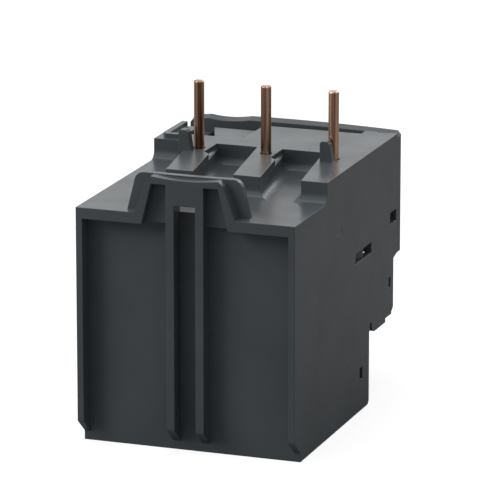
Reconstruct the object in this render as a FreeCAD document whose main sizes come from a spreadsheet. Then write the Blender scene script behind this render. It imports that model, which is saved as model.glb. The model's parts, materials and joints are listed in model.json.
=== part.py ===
import FreeCAD, Part
import math
import os
import Sketcher

# Thermal overload relay that hangs under a contactor by three contact pins and a hook.
# Millimetres, +Z up, the operating front faces -Y, the origin is at the middle of the foot.

V = FreeCAD.Vector
doc = FreeCAD.newDocument("overload_relay")
dims = doc.addObject("Spreadsheet::Sheet", "dims")
nodes = []


class Size:
    """A length with the sheet formula that it comes from, so that solids can be bound to it."""

    def __init__(self, value, text):
        self.value = value
        self.text = text

    def __add__(self, other):
        other = as_size(other)
        return Size(self.value + other.value, f"({self.text} + {other.text})")

    def __sub__(self, other):
        other = as_size(other)
        return Size(self.value - other.value, f"({self.text} - {other.text})")

    def __mul__(self, other):
        other = as_size(other)
        return Size(self.value * other.value, f"({self.text} * {other.text})")

    def __truediv__(self, other):
        other = as_size(other)
        return Size(self.value / other.value, f"({self.text} / {other.text})")

    def __neg__(self):
        return Size(-self.value, f"(0 - {self.text})")

    def __radd__(self, other):
        return as_size(other) + self

    def __rsub__(self, other):
        return as_size(other) - self

    def __rmul__(self, other):
        return as_size(other) * self


def as_size(amount):
    """The amount itself, or a plain number as a length of its own."""
    return amount if isinstance(amount, Size) else Size(float(amount), repr(float(amount)))


def cell(alias, value, note):
    """Write one driving dimension into the sheet and return it."""
    row = cell.row = getattr(cell, "row", 0) + 1
    dims.set(f"A{row}", note)
    dims.set(f"B{row}", str(value))
    dims.setAlias(f"B{row}", alias)
    return Size(float(value), f"dims.{alias}")


# Outer size
width = cell("width", 45, "width across the side walls")
depth = cell("depth", 70, "depth from the rear ribs to the window's face")
height = cell("height", 66, "height from the foot to the tips of the pins")

# Levels and depths of the shell, depths counted forward from the rear ribs
rear_top = cell("rear_top", 48, "top of the rear wall and floor of the notches")
deck_top = cell("deck_top", 52.2, "top of the deck")
deck_rear = cell("deck_rear", 18.9, "depth at which the deck steps up")
deck_step = cell("deck_step", 0.2, "thick deck's end behind the mechanism plate")
deck_gap = cell("deck_gap", 2.9, "slot between the deck's front edge and the fascia")
block_step = cell("block_step", 15.4, "set-back of the power terminal front from the auxiliary one")
step_gap = cell("step_gap", 1.4, "gap between the two terminal blocks")
aux_set = cell("aux_set", 2.3, "set-back of the auxiliary terminal front from the fascia")
fascia_thick = cell("fascia_thick", 2, "thickness of the fascia")
window_room = cell("window_room", 4.8, "room from the fascia's face to the window's face")
power_top = cell("power_top", 15.3, "top of the power terminal block")
aux_floor = cell("aux_floor", 14.3, "underside of the auxiliary terminal block")
aux_lip = cell("aux_lip", 2.0, "rise of the underside towards the front")
aux_top = cell("aux_top", 26.6, "top of the auxiliary terminal block")
fascia_low = cell("fascia_low", 27.2, "lower edge of the fascia")
wall = cell("wall", 1.5, "side walls, floor and deck plate")
rear_wall = cell("rear_wall", 1.4, "rear panel")
fit = cell("fit", 0.1, "gap between fixed moulded pieces")
clear = cell("moving_gap", 0.3, "gap between pieces that move past each other")
running = cell("running", 0.05, "radial clearance of a turning or sliding fit")

# Rear panel, ribs and hook
recess = cell("recess", 3.6, "depth of the rear panel behind the ribs")
side_frame = cell("side_frame", 1.3, "width of the frame beside the panel")
rear_bar_low = cell("rear_bar_low", 45.8, "underside of the bar over the panel")
rib_gap = cell("rib_gap", 4.4, "space between the two ribs")
rib = cell("rib", 1.67, "width of a rib")
frame_foot = cell("frame_foot", 4.8, "height at which the side frames run out")
rib_foot = cell("rib_foot", 6.2, "height at which the ribs run out")
foot_slope = cell("foot_slope", 1.8, "height of the panel's lower edge at the frames")
hook_top = cell("hook_top", 55.5, "top of the hook")
hook_dip = cell("hook_dip", 0.5, "dip in the middle of the hook's top")
hook_foot = cell("hook_foot", 11.1, "half width of the hook at its foot")
hook_shoulder = cell("hook_shoulder", 7.9, "half width of the hook at its shoulder")
hook_inner = cell("hook_inner", 1.05, "width of the hook's legs at the shoulder")
hook_leg = cell("hook_leg", 1.85, "width of the hook's legs at the foot")
hook_depth = cell("hook_depth", 2.2, "depth of the hook's front frame")
hook_back = cell("hook_back", 1.4, "thickness of the hook's back plate")
hook_back_foot = cell("hook_back_foot", 13.15, "half width of the back plate at its foot")
hook_back_shoulder = cell("hook_back_shoulder", 11.1, "half width of the back plate above")
hook_window = cell("hook_window", 2.0, "height of the window under the hook's plate")

# Deck: fingers, notches, posts and recesses
finger_set = cell("finger_set", 0.18, "finger's left rear corner beside its pin's axis")
finger_shift = cell("finger_shift", 0.15, "pitch of the fingers less than the pins'")
finger_width = cell("finger_width", 5.6, "width of a finger at its rear end")
finger_lean = cell("finger_lean", 3.4, "sideways lean of a finger over its length")
notch_room = cell("notch_room", 4.3, "reach of the notches in front of the pins")
notch_round = cell("notch_round", 1.8, "rounding at the foot of the notches")
jog_length = cell("jog_length", 8.8, "length of the widened stretch of a notch")
jog = cell("jog", 1.55, "widening of a notch")
jog_deep = cell("jog_deep", 1.3, "depth of the widened stretch under the deck")
post_width = cell("post_width", 2, "width of a guide post")
post_thick = cell("post_thick", 1.8, "thickness of a guide post")
post_height = cell("post_height", 4.2, "height of a guide post over the deck")
post_near = cell("post_near", 2.1, "first post's shift from its pin")
post_far = cell("post_far", 0.7, "last post's shift from its pin")
post_draft = cell("post_draft", 0.6, "taper of a post's outer side")
pocket_left = cell("pocket_left", 5.4, "inner end of the deck's front pocket")
pocket_narrow = cell("pocket_narrow", 6, "width of the deep pocket at its rear")
pocket_slant = cell("pocket_slant", 4.2, "slant of that edge over the pocket")
pocket_side = cell("pocket_side", 4.9, "pocket's outer end from the side wall's face")
pocket_set = cell("pocket_set", 15, "pocket's start behind the fascia")
pocket_deep = cell("pocket_deep", 1.0, "depth of the shallow pocket")
pocket_floor = cell("pocket_floor", 11.2, "length of the shallow pocket's floor")
corner_set = cell("corner_set", 8.5, "open front corner's start behind the fascia")
corner_deep = cell("corner_deep", 3.0, "depth of the open front corner under the deck")
slot_side = cell("slot_side", 6.9, "end of the fascia's slot from the side wall's face")
rim_height = cell("rim_height", 1.0, "height of the corner rim over the deck")
rim_thick = cell("rim_thick", 1.2, "thickness of the corner rim")
rim_side = cell("rim_side", 1.4, "corner rim from the side wall's face")
rim_length = cell("rim_length", 3.4, "length of the corner rim across")

# Poles and contact pins
block_end = cell("block_end", 1.2, "end walls beside the outer power chambers")
pin_offset = cell("pin_offset", -3.07, "middle pin's place across the width")
pin_radius = cell("pin_radius", 1.05, "radius of a contact pin over the deck")
shank_radius = cell("shank_radius", 0.85, "radius of a contact pin's bent shank inside")
pin_set = cell("pin_set", 6, "pins' axes behind the mechanism plate")
pin_bend = cell("pin_bend", 3.0, "bend radius of a pin inside")
pin_round = cell("pin_round", 0.3, "rounding of the pins' tips")
post_room = cell("post_room", 0.66, "gap between a pin and its guide post")
pin_hole = cell("pin_hole", 0.2, "radial clearance of a pin in the deck")
pole_set = cell("pole_set", 16, "bimetal strips behind the pins")
strip_thick = cell("strip_thick", 0.8, "thickness of a bimetal strip")
strip_width = cell("strip_width", 3.6, "width of a bimetal strip")
strip_foot = cell("strip_foot", 4.5, "lower end of a strip")
strip_tip = cell("strip_tip", 42.2, "upper end of a strip")
carrier_top = cell("carrier_top", 7, "top of the bimetal carrier")
carrier_depth = cell("carrier_depth", 8.2, "depth of the bimetal carrier")
sleeve_bore = cell("sleeve_bore", 2.7, "bore radius of a sleeve")
sleeve_wall = cell("sleeve_wall", 0.65, "wall of a sleeve")
sleeve_height = cell("sleeve_height", 23, "height of a sleeve")
coil_wire = cell("coil_wire", 0.42, "radius of the heater wire")
coil_pitch = cell("coil_pitch", 1.7, "pitch of the heater winding")
coil_turns = cell("coil_turns", 10, "turns of the heater winding")
coil_start = cell("coil_start", 9.6, "height of the first turn")

# Power terminals
block_depth = cell("block_depth", 12.1, "depth of the power block")
chamber_half = cell("chamber_half", 5.6, "half width of a power chamber")
chamber_low = cell("chamber_low", 1.2, "floor of a power chamber")
chamber_high = cell("chamber_high", 13.8, "roof of a power chamber")
front_wall = cell("front_wall", 1.3, "front wall of the terminal blocks")
power_axis = cell("power_axis", 7.6, "height of the power screws")
bar_thick = cell("bar_thick", 1.0, "thickness of a terminal bar")
bar_half = cell("bar_half", 1.8, "half width of a terminal bar's leg")
bar_leg = cell("bar_leg", 3.6, "height of a terminal bar's leg")
bar_set = cell("bar_set", 1.9, "terminal bars in front of the power block's rear face")
bar_plate = cell("bar_plate", 5, "half height of a terminal bar's plate")
power_travel = cell("power_travel", 4.2, "travel of a power clamp")
power_shank = cell("power_shank", 1.75, "radius of a power screw")
power_head = cell("power_head", 2.9, "radius of a power screw's head")
head_thick = cell("head_thick", 1.85, "thickness of a power screw's head")
power_driver = cell("power_driver", 3.15, "radius of the power driver holes")
clamp_thick = cell("clamp_thick", 1.0, "thickness of a power clamp")
clamp_half = cell("clamp_half", 5.2, "half width of a power clamp")
clamp_rise = cell("clamp_rise", 4.7, "half height of a power clamp")
clamp_lip = cell("clamp_lip", 0.5, "depth of a clamp's gripping lips")
recess_width = cell("recess_width", 0.8, "width of a screw's cross recess")
recess_deep = cell("recess_deep", 1.1, "depth of a screw's cross recess")

# Auxiliary terminals
aux_end = cell("aux_end", 2.2, "end walls of the auxiliary block")
aux_half = cell("aux_half", 4.0, "half width of an auxiliary chamber")
aux_axis = cell("aux_axis", 21.3, "height of the auxiliary screws")
aux_rise = cell("aux_rise", 25.2, "roof of an auxiliary chamber")
aux_low = cell("aux_low", 15.8, "floor of an auxiliary chamber")
plate_set = cell("plate_set", 11.7, "contact plates behind the auxiliary terminal front")
plate_thick = cell("plate_thick", 0.8, "thickness of the contact plates")
plate_half = cell("plate_half", 3.85, "half width of a contact plate")
plate_low = cell("plate_low", 17.2, "lower end of a contact plate")
riser_half = cell("riser_half", 1.6, "half width of a contact plate's riser")
shelf_reach = cell("shelf_reach", 1.5, "shelves' front edge in front of the rivets")
shelf_closed = cell("shelf_closed", 30, "height of the closed contact's shelves")
shelf_open = cell("shelf_open", 34.9, "height of the open contact's shelves")
rivet_radius = cell("rivet_radius", 1.1, "radius of a contact rivet")
rivet_high = cell("rivet_high", 0.6, "height of a contact rivet")
rivet_gap = cell("rivet_gap", 0.05, "gap between closed rivets")
contact_set = cell("contact_set", 3.3, "contact rivets in front of the contact plates")
aux_travel = cell("aux_travel", 4, "travel of an auxiliary clamp")
aux_shank = cell("aux_shank", 1.5, "radius of an auxiliary screw")
aux_head = cell("aux_head", 2.5, "radius of an auxiliary screw's head")
aux_head_thick = cell("aux_head_thick", 1.7, "thickness of an auxiliary screw's head")
aux_driver = cell("aux_driver", 2.95, "radius of the auxiliary driver holes")
aux_clamp_half = cell("aux_clamp_half", 3.6, "half width of an auxiliary clamp")
aux_clamp_rise = cell("aux_clamp_rise", 3.5, "half height of an auxiliary clamp")

# Slides, trip lever and contact carrier
rail_top = cell("rail_top", 37.6, "top of the slide rails")
rail_thick = cell("rail_thick", 2.0, "height of the slide rails")
slide_half = cell("slide_half", 7, "half depth of the slides about the strips")
slide_thick = cell("slide_thick", 1.8, "thickness of the slides")
slide_end = cell("slide_end", 1.8, "slides' far end from the side wall")
slide_short = cell("slide_short", 1.3, "slides' near end beside the lever's pivot")
slide_travel = cell("slide_travel", 1.4, "travel of the main slide")
trip_gap = cell("trip_gap", 0.15, "gap between the slide's finger and the lever's strip")
switch_room = cell("switch_room", 5.2, "mechanism plate behind the contact plates")
plate_wall = cell("plate_wall", 1.2, "thickness of the mechanism plate")
lever_side = cell("lever_side", 3.4, "trip lever's pivot from the side wall")
lever_z = cell("lever_z", 30, "trip lever's pivot height")
lever_gap = cell("lever_gap", 0.8, "gap between the mechanism plate and the trip lever")
lever_thick = cell("lever_thick", 2.2, "thickness of the trip lever")
lever_hub = cell("lever_hub", 1.7, "radius of the trip lever's hub")
pivot_radius = cell("pivot_radius", 0.8, "radius of the mechanism's pivots")
compensation = cell("compensation", 0.6, "thickness of the compensation strip")
compensation_tip = cell("compensation_tip", 40.5, "upper end of the compensation strip")
setting_z = cell("setting_z", 46, "setting lever's pivot height")
setting_set = cell("setting_set", 7.8, "setting lever behind the fascia")
setting_thick = cell("setting_thick", 1.2, "thickness of the setting lever")
setting_half = cell("setting_half", 1.2, "half width of the setting lever")
beam_low = cell("beam_low", 36.3, "underside of the contact carrier's beam")
beam_thick = cell("beam_thick", 2, "height of the contact carrier's beam")
beam_depth = cell("beam_depth", 3.8, "depth of the contact carrier's beam")
tongue_half = cell("tongue_half", 2, "half width of the carrier's guide tongue")
lug_half = cell("lug_half", 0.8, "half width of the carrier's lifting lug")
bridge_thick = cell("bridge_thick", 0.6, "thickness of a contact bridge")
bridge_depth = cell("bridge_depth", 2.6, "depth of a contact bridge")
spring_seat = cell("spring_seat", 48.5, "seat over the carrier spring")

# Controls on the front
dial_side = cell("dial_side", 5.1, "dial's axis beside the levers' pivots")
dial_z = cell("dial_z", 39.5, "dial's height")
dial_radius = cell("dial_radius", 6.3, "radius of the dial's head")
dial_shaft = cell("dial_shaft", 2.5, "radius of the dial's shaft")
dial_square = cell("dial_square", 2.8, "square end of the dial's shaft")
cam_radius = cell("cam_radius", 3.6, "smallest radius of the cam")
cam_rise = cell("cam_rise", 0.3, "rise of the cam over its whole turn")
cam_set = cell("cam_set", 0.2, "cam's rear face behind the setting lever's")
cam_thick = cell("cam_thick", 1.8, "thickness of the cam")
cam_step = cell("cam_step", 60, "angle of the cam's step below the lever's nose")
control_set = cell("control_set", 1.7, "controls' front faces behind the window's")
stop_x = cell("stop_x", -2.5, "stop button's place across the width")
stop_z = cell("stop_z", 44.5, "stop button's height")
stop_radius = cell("stop_radius", 3.4, "radius of the stop button")
reset_side = cell("reset_side", 8, "reset button's axis from the side wall")
reset_z = cell("reset_z", 43, "reset button's height")
reset_radius = cell("reset_radius", 4.3, "radius of the reset button")
arm_thick = cell("arm_thick", 0.9, "thickness of the fascia's snap arms")
arm_low = cell("arm_low", 31.35, "underside of the snap arms")
arm_high = cell("arm_high", 33.2, "upper side of the snap arms")
button_bore = cell("button_bore", 0.1, "radial clearance of a button in its cup")
cup_wall = cell("cup_wall", 1.2, "wall and floor of a button cup")
cup_depth = cell("cup_depth", 5.4, "depth of the cups behind the fascia")
spring_room = cell("spring_room", 2.8, "room for a button's spring on the cup's floor")
button_travel = cell("button_travel", 1.4, "travel of the buttons")
stem_radius = cell("stem_radius", 1.2, "radius of the buttons' stems")
stem_reach = cell("stem_reach", 2.2, "reach of the stems behind the cups")
button_spring = cell("button_spring", 2.2, "radius of the button springs")
spring_wire = cell("spring_wire", 0.2, "radius of the spring wire")
test_side = cell("test_side", 7.5, "test slider's middle from the side wall")
test_z = cell("test_z", 33, "test slider's height")
test_travel = cell("test_travel", 2.5, "travel of the test slider")
flag_half = cell("flag_half", 2.2, "half width of the trip flag")
flag_x = cell("flag_x", 3.5, "trip flag's place across the width")
flag_low = cell("flag_low", 34, "lower edge of the trip flag")
flag_high = cell("flag_high", 39.4, "upper edge of the trip flag")
flag_set = cell("flag_set", 2, "trip flag behind the fascia")
window_wall = cell("window_wall", 1.2, "wall of the window")
window_low = cell("window_low", 28.4, "lower edge of the window")
window_high = cell("window_high", 51, "upper edge of the window")
window_inset = cell("window_inset", 1.9, "window's edge from the side wall's face")
hinge_inset = cell("hinge_inset", 2.9, "window hinge from the side wall's face")
hinge_set = cell("hinge_set", 2.8, "window hinge behind the window's face")
hinge_pin = cell("hinge_pin", 0.6, "radius of the window's hinge pin")
knuckle = cell("knuckle", 1.3, "radius of the window's knuckle")
lug_high = cell("lug_high", 2.1, "height of a hinge lug")

snap_low = cell("snap_low", 31.3, "lower edge of the snap windows")
snap_high = cell("snap_high", 33.5, "upper edge of the snap windows")
snap_set = cell("snap_set", 7.5, "snap windows' rear end behind the mechanism plate")
snap_length = cell("snap_length", 10, "length of the snap windows")

# Places that follow from the sizes, counted forward from the rear ribs
rear = depth / 2
fascia_front = depth - window_room
fascia_rear = fascia_front - fascia_thick
aux_front = fascia_rear - aux_set
foot_front = aux_front - block_step
block_rear = foot_front - block_depth
bar_depth = block_rear + bar_set
plate_depth = aux_front - plate_set
contact_depth = plate_depth + contact_set
shelf_end = contact_depth + shelf_reach
plate_rear = plate_depth - switch_room
lever_depth = plate_rear + plate_wall + lever_gap
deck_thick_to = plate_rear - deck_step
pin_depth = plate_rear - pin_set
pole_depth = pin_depth - pole_set
slide_rear = pole_depth - slide_half
slide_front = pole_depth + slide_half
notch_end = pin_depth + notch_room
jog_start = notch_end - jog_length
pocket_rear = fascia_rear - pocket_set
corner_rear = fascia_rear - corner_set
setting_depth = fascia_rear - setting_set
cam_depth = setting_depth - cam_set
cup_floor = fascia_rear - cup_depth
button_rear = cup_floor + cup_wall + spring_room
stem_end = cup_floor - stem_reach
flag_depth = fascia_rear - flag_set
control_front = depth - control_set
hinge_depth = depth - hinge_set
snap_rear = plate_rear - snap_set
snap_front = snap_rear + snap_length

# Places across the width
inner_half = width / 2 - wall
piece_half = inner_half - fit
pole_pitch = inner_half - block_end - chamber_half
aux_pitch = (piece_half - aux_end - aux_half) / 1.5
lever_x = inner_half - lever_side
lift_x = aux_pitch / 2 + riser_half + clear + lug_half
lever_arm = lever_x - lift_x
slide_left = inner_half - slide_end
slide_right = lever_x - slide_short
dial_x = lever_x - dial_side
reset_x = reset_side - inner_half
test_x = test_side - inner_half
window_side = width / 2 - window_inset
hinge_x = hinge_inset - width / 2
pocket_right = width / 2 - pocket_side
pocket_step = pocket_right - pocket_narrow
slot_end = width / 2 - slot_side
rim_edge = width / 2 - rim_side
rim_inner = rim_edge - rim_length
pole_x = [pole_pitch, pole_pitch * 0, -pole_pitch]
pin_x = [pin_offset + x for x in pole_x]
aux_x = [aux_pitch * step for step in (-1.5, -0.5, 0.5, 1.5)]
finger_left = pin_x[0] - finger_set
finger_pitch = pole_pitch - finger_shift
power_gap = power_travel + clamp_lip * 0.4 + 2 * fit
aux_gap = aux_travel + clamp_lip * 0.4 + 2 * fit
lever_reach = rail_top + clear + slide_thick / 2 - lever_z
carrier_lift = slide_travel * lever_arm / lever_reach


def deep(start, end):
    """Y span between two depths counted forward from the rear ribs."""
    return (rear - end, rear - start)


def span(centre, half):
    """Span of the given half width about a centre."""
    return (centre - half, centre + half)


def bind(thing, prop, amount):
    """Bind one property of an object to a length."""
    thing.setExpression(prop, as_size(amount).text)


def node(thing, name):
    """Give a finished piece the name of its file."""
    thing.Label = name
    nodes.append(thing)
    return thing


# Rotations that lay a local Z axis, and a sketch, along each axis
AXES = {"x": V(1, 0, 0), "y": V(0, 1, 0), "z": V(0, 0, 1)}
BAR_TURN = {
    "x": FreeCAD.Rotation(V(0, 1, 0), 90),
    "y": FreeCAD.Rotation(V(1, 0, 0), -90),
    "z": FreeCAD.Rotation(),
}
SKETCH_TURN = {
    "x": FreeCAD.Rotation(V(1, 1, 1), 120),
    "y": FreeCAD.Rotation(V(1, 0, 0), 90),
    "z": FreeCAD.Rotation(),
}


def place(thing, turn, x, y, z):
    """Set an object's rotation and bind its position."""
    thing.Placement = FreeCAD.Placement(V(0, 0, 0), turn)
    bind(thing, "Placement.Base.x", x)
    bind(thing, "Placement.Base.y", y)
    bind(thing, "Placement.Base.z", z)


def box(name, x, y, z):
    """Box over an x, a y and a z span."""
    solid = doc.addObject("Part::Box", name)
    bind(solid, "Length", x[1] - x[0])
    bind(solid, "Width", y[1] - y[0])
    bind(solid, "Height", z[1] - z[0])
    place(solid, FreeCAD.Rotation(), x[0], y[0], z[0])
    return solid


def rod(name, axis, centre, ends, radius):
    """Round bar along an axis, its centre given by the two other coordinates."""
    solid = doc.addObject("Part::Cylinder", name)
    bind(solid, "Radius", radius)
    bind(solid, "Height", ends[1] - ends[0])
    order = {"x": (ends[0],) + tuple(centre), "z": tuple(centre) + (ends[0],)}
    order["y"] = (centre[0], ends[0], centre[1])
    place(solid, BAR_TURN[axis], *order[axis])
    return solid


def pin_point(sketch, geometry, end, point):
    """Fix one point of a sketch at its two distances from the sketch's origin."""
    for kind, amount in zip(("DistanceX", "DistanceY"), point):
        amount = as_size(amount)
        index = sketch.addConstraint(Sketcher.Constraint(kind, -1, 1, geometry, end, amount.value))
        sketch.setExpression(f"Constraints[{index}]", amount.text)


def draw(sketch, points):
    """Closed outline of straight runs. A run may be an arc: ("arc", middle) before its end point."""
    runs = []
    middle = None
    for item in points + [points[0]]:
        if item[0] == "arc":
            middle = item[1]
            continue
        if runs or middle is not None or draw.last is not None:
            runs.append((draw.last, middle, item))
        draw.last = item
        middle = None
    draw.last = None
    for start, middle, end in runs:
        at = [V(as_size(p[0]).value, as_size(p[1]).value, 0) for p in (start, end)]
        if middle is None:
            line = sketch.addGeometry(Part.LineSegment(*at))
            pin_point(sketch, line, 1, start)
            pin_point(sketch, line, 2, end)
            continue
        mid = V(as_size(middle[0]).value, as_size(middle[1]).value, 0)
        if (mid - at[0]).cross(at[1] - mid).z < 0:
            at.reverse()
            start, end = end, start
        arc = sketch.addGeometry(Part.Arc(at[0], mid, at[1]))
        pin_point(sketch, arc, 1, start)
        pin_point(sketch, arc, 2, end)
        point = sketch.addGeometry(Part.Point(mid), True)
        pin_point(sketch, point, 1, middle)
        sketch.addConstraint(Sketcher.Constraint("PointOnObject", point, 1, arc))


draw.last = None


def prism(name, axis, points, ends):
    """Outline in the two other coordinates, drawn along an axis between its ends."""
    sketch = doc.addObject("Sketcher::SketchObject", name + "_outline")
    origin = {"x": (ends[0], 0, 0), "y": (0, ends[0], 0), "z": (0, 0, ends[0])}
    place(sketch, SKETCH_TURN[axis], *origin[axis])
    draw(sketch, points)
    solid = doc.addObject("Part::Extrusion", name)
    solid.Base = sketch
    solid.DirMode = "Custom"
    solid.Dir = AXES[axis]
    solid.Solid = True
    bind(solid, "LengthFwd", ends[1] - ends[0])
    return solid


def fuse(name, parts):
    """One solid of several that touch or overlap."""
    whole = doc.addObject("Part::MultiFuse", name)
    whole.Shapes = parts
    whole.Refine = True
    return whole


def cut(name, base, tools):
    """The base with the tools taken away."""
    tool = tools[0] if len(tools) == 1 else fuse(name + "_tools", tools)
    rest = doc.addObject("Part::Cut", name)
    rest.Base = base
    rest.Tool = tool
    rest.Refine = True
    return rest


def rounded(name, base, radius, wanted):
    """The base with every edge that is wanted rounded."""
    doc.recompute()
    edges = [i + 1 for i, edge in enumerate(base.Shape.Edges) if wanted(edge)]
    solid = doc.addObject("Part::Fillet", name)
    solid.Base = base
    solid.Edges = [(i, radius.value, radius.value) for i in edges]
    return solid


def turned(name, outline, x, front_depth, z):
    """Body of revolution about a Y axis. The outline holds (radius, depth) points."""
    body = doc.addObject("PartDesign::Body", name)
    plane = [f for f in body.Origin.OriginFeatures if f.Role == "XZ_Plane"][0]
    sketch = body.newObject("Sketcher::SketchObject", name + "_outline")
    sketch.AttachmentSupport = [(plane, "")]
    sketch.MapMode = "FlatFace"
    draw(sketch, [(r, front_depth - d) for r, d in outline])
    spin = body.newObject("PartDesign::Revolution", name + "_turned")
    spin.Profile = sketch
    spin.ReferenceAxis = (sketch, ["V_Axis"])
    spin.Angle = 360
    place(body, BAR_TURN["y"], x, rear - front_depth, z)
    return body


def body_box(body, name, x, y, z):
    """Box cut from a body, in the body's own axes."""
    tool = body.newObject("PartDesign::SubtractiveBox", name)
    bind(tool, "Length", x[1] - x[0])
    bind(tool, "Width", y[1] - y[0])
    bind(tool, "Height", z[1] - z[0])
    place(tool, FreeCAD.Rotation(), x[0], y[0], z[0])
    return tool


def bent_rod(name, points, radius, bend):
    """Round wire along straight runs that tangent arcs of one radius join."""
    edges = []
    start = points[0]
    for before, corner, after in zip(points, points[1:], points[2:]):
        inward = (before - corner).normalize()
        outward = (after - corner).normalize()
        half = inward.getAngle(outward) / 2
        first = corner + inward * (bend / math.tan(half))
        last = corner + outward * (bend / math.tan(half))
        middle_way = (inward + outward).normalize()
        middle = corner + middle_way * (bend / math.sin(half) - bend)
        edges.append(Part.LineSegment(start, first).toShape())
        edges.append(Part.Arc(first, middle, last).toShape())
        start = last
    edges.append(Part.LineSegment(start, points[-1]).toShape())
    ring = Part.Wire(Part.makeCircle(radius, points[0], points[1] - points[0]))
    solid = doc.addObject("Part::Feature", name)
    solid.Shape = Part.Wire(edges).makePipeShell([ring], True, False)
    return solid


def coil(name, radius, wire, pitch, turns, turn, base):
    """Round wire wound on a helix of about half-turn runs, its axis turned from Z, its foot at the base."""
    runs = max(1, round(2 * turns))
    rise = pitch * turns / runs
    helix = []
    for index in range(runs):
        edge = Part.makeHelix(pitch, rise, radius).Edges[0]
        edge.rotate(V(0, 0, 0), V(0, 0, 1), 360 * turns / runs * index)
        edge.translate(V(0, 0, rise * index))
        helix.append(edge)
    ring = Part.Wire(Part.makeCircle(wire, V(radius, 0, 0), V(0, 1, 0)))
    solid = doc.addObject("Part::Feature", name)
    solid.Shape = Part.Wire(helix).makePipeShell([ring], True, True)
    solid.Placement = FreeCAD.Placement(base, turn)
    return solid


def shell_outline():
    """Side view of the housing as (y, z) points, from the foot of the rear panel round."""
    points = [
        (recess, 0),
        (recess, foot_slope),
        (0, frame_foot),
        (0, rear_top),
        (deck_rear - notch_round - clear, rear_top),
        (deck_rear - notch_round - clear, deck_top),
        (fascia_rear, deck_top),
        (fascia_rear, fascia_low),
        (aux_front, aux_top),
        (aux_front, aux_floor + aux_lip),
        (aux_front - 1.1, aux_floor + aux_lip - 0.7),
        (aux_front - 1.1, aux_floor + 0.8),
        (aux_front - 5, aux_floor + 0.8),
        (aux_front - 5, aux_floor),
        (foot_front + step_gap + 1.9, aux_floor),
        (foot_front + step_gap + 0.56, aux_floor + 0.56),
        (foot_front + step_gap, aux_floor + 1.9),
        (foot_front + step_gap, power_top + step_gap),
        (foot_front + 0.4, power_top + step_gap),
        (foot_front + 0.4, power_top),
        (foot_front, power_top - 0.3),
        (foot_front, 0.7),
        (foot_front - 0.7, 0),
    ]
    return [(rear - d, z) for d, z in points]


def finger_edge(index, depth_at):
    """X of a finger's left edge at a depth."""
    lean = finger_lean * (depth_at - deck_rear) / (notch_end - deck_rear)
    return finger_left - finger_pitch * index + lean


def deck_comb():
    """Everything over the rear plate but the fingers, with its foot edges rounded."""
    out = width / 2 + wall
    points = [(out, -wall), (out, notch_end)]
    for index in range(3):
        points.append((finger_edge(index, notch_end), notch_end))
        points.append((finger_edge(index, deck_rear), deck_rear))
        if index < 2:
            points.append((finger_edge(index, deck_rear) - finger_width, deck_rear))
            points.append((finger_edge(index, notch_end) - finger_width, notch_end))
    points += [(-out, deck_rear), (-out, -wall)]
    comb = prism("deck_comb", "z", [(x, rear - d) for x, d in points], (rear_top, deck_top + wall))
    return rounded("deck_comb_round", comb, notch_round, lambda edge: foot_edge(edge, out))


def foot_edge(edge, out):
    """Whether an edge is the foot of a notch wall, not the comb's open border."""
    middle = edge.BoundBox.Center
    low = edge.BoundBox.ZMax < rear_top.value + 0.01
    inside = abs(middle.x) < out.value - 0.01
    return low and inside and middle.y < (rear + wall).value - 0.01


def jog_pocket(index):
    """Shallow widening of a notch beside a finger, its foot rounded."""
    start = finger_edge(index, jog_start) - finger_width
    points = [
        (start - wall, jog_start),
        (start, jog_start),
        (start + jog, jog_start + jog),
        (start + jog, notch_end),
        (start - wall, notch_end),
    ]
    tool = prism(f"jog_{index + 1}", "z", [(x, rear - d) for x, d in points],
                 (deck_top - jog_deep, deck_top + wall))
    inner = (start + jog).value - 0.01
    low = (deck_top - jog_deep).value + 0.01
    return rounded(f"jog_{index + 1}_round", tool, jog_deep / 2,
                   lambda edge: edge.BoundBox.ZMax < low and edge.BoundBox.XMin > inner)


def hook_parts():
    """Front frame and back plate of the hook on the rear top edge."""
    frame = [
        (-hook_foot, rear_bar_low),
        (-hook_shoulder, hook_top - 0.9),
        (-(hook_shoulder - 1), hook_top),
        ("arc", (0, hook_top - hook_dip)),
        (hook_shoulder - 1, hook_top),
        (hook_shoulder, hook_top - 0.9),
        (hook_foot, rear_bar_low),
    ]
    back = [
        (-hook_back_foot, rear_bar_low),
        (-hook_back_shoulder, hook_top - 1.7),
        ("arc", (-(hook_back_shoulder - 0.65), hook_top - 0.4)),
        (-(hook_back_shoulder - 2), hook_top + 0.1),
        ("arc", (0, hook_top)),
        (hook_back_shoulder - 2, hook_top + 0.1),
        ("arc", (hook_back_shoulder - 0.65, hook_top - 0.4)),
        (hook_back_shoulder, hook_top - 1.7),
        (hook_back_foot, rear_bar_low),
    ]
    front = prism("hook_frame", "y", frame, deep(0, hook_depth))
    plate = prism("hook_plate", "y", back, deep(hook_depth, hook_depth + hook_back))
    return [front, plate]


def hook_pocket(side):
    """Pocket between a leg of the hook and its middle plate."""
    inner = rib_gap / 2 + rib
    points = [
        (inner, rear_bar_low - wall),
        (hook_foot - hook_leg, rear_bar_low - wall),
        (hook_shoulder - hook_inner, hook_top - 1.5),
        (inner, hook_top - 1.5),
    ]
    name = "hook_pocket_left" if side < 0 else "hook_pocket_right"
    return prism(name, "y", [(x * side, z) for x, z in points], deep(-wall, hook_depth))


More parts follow.
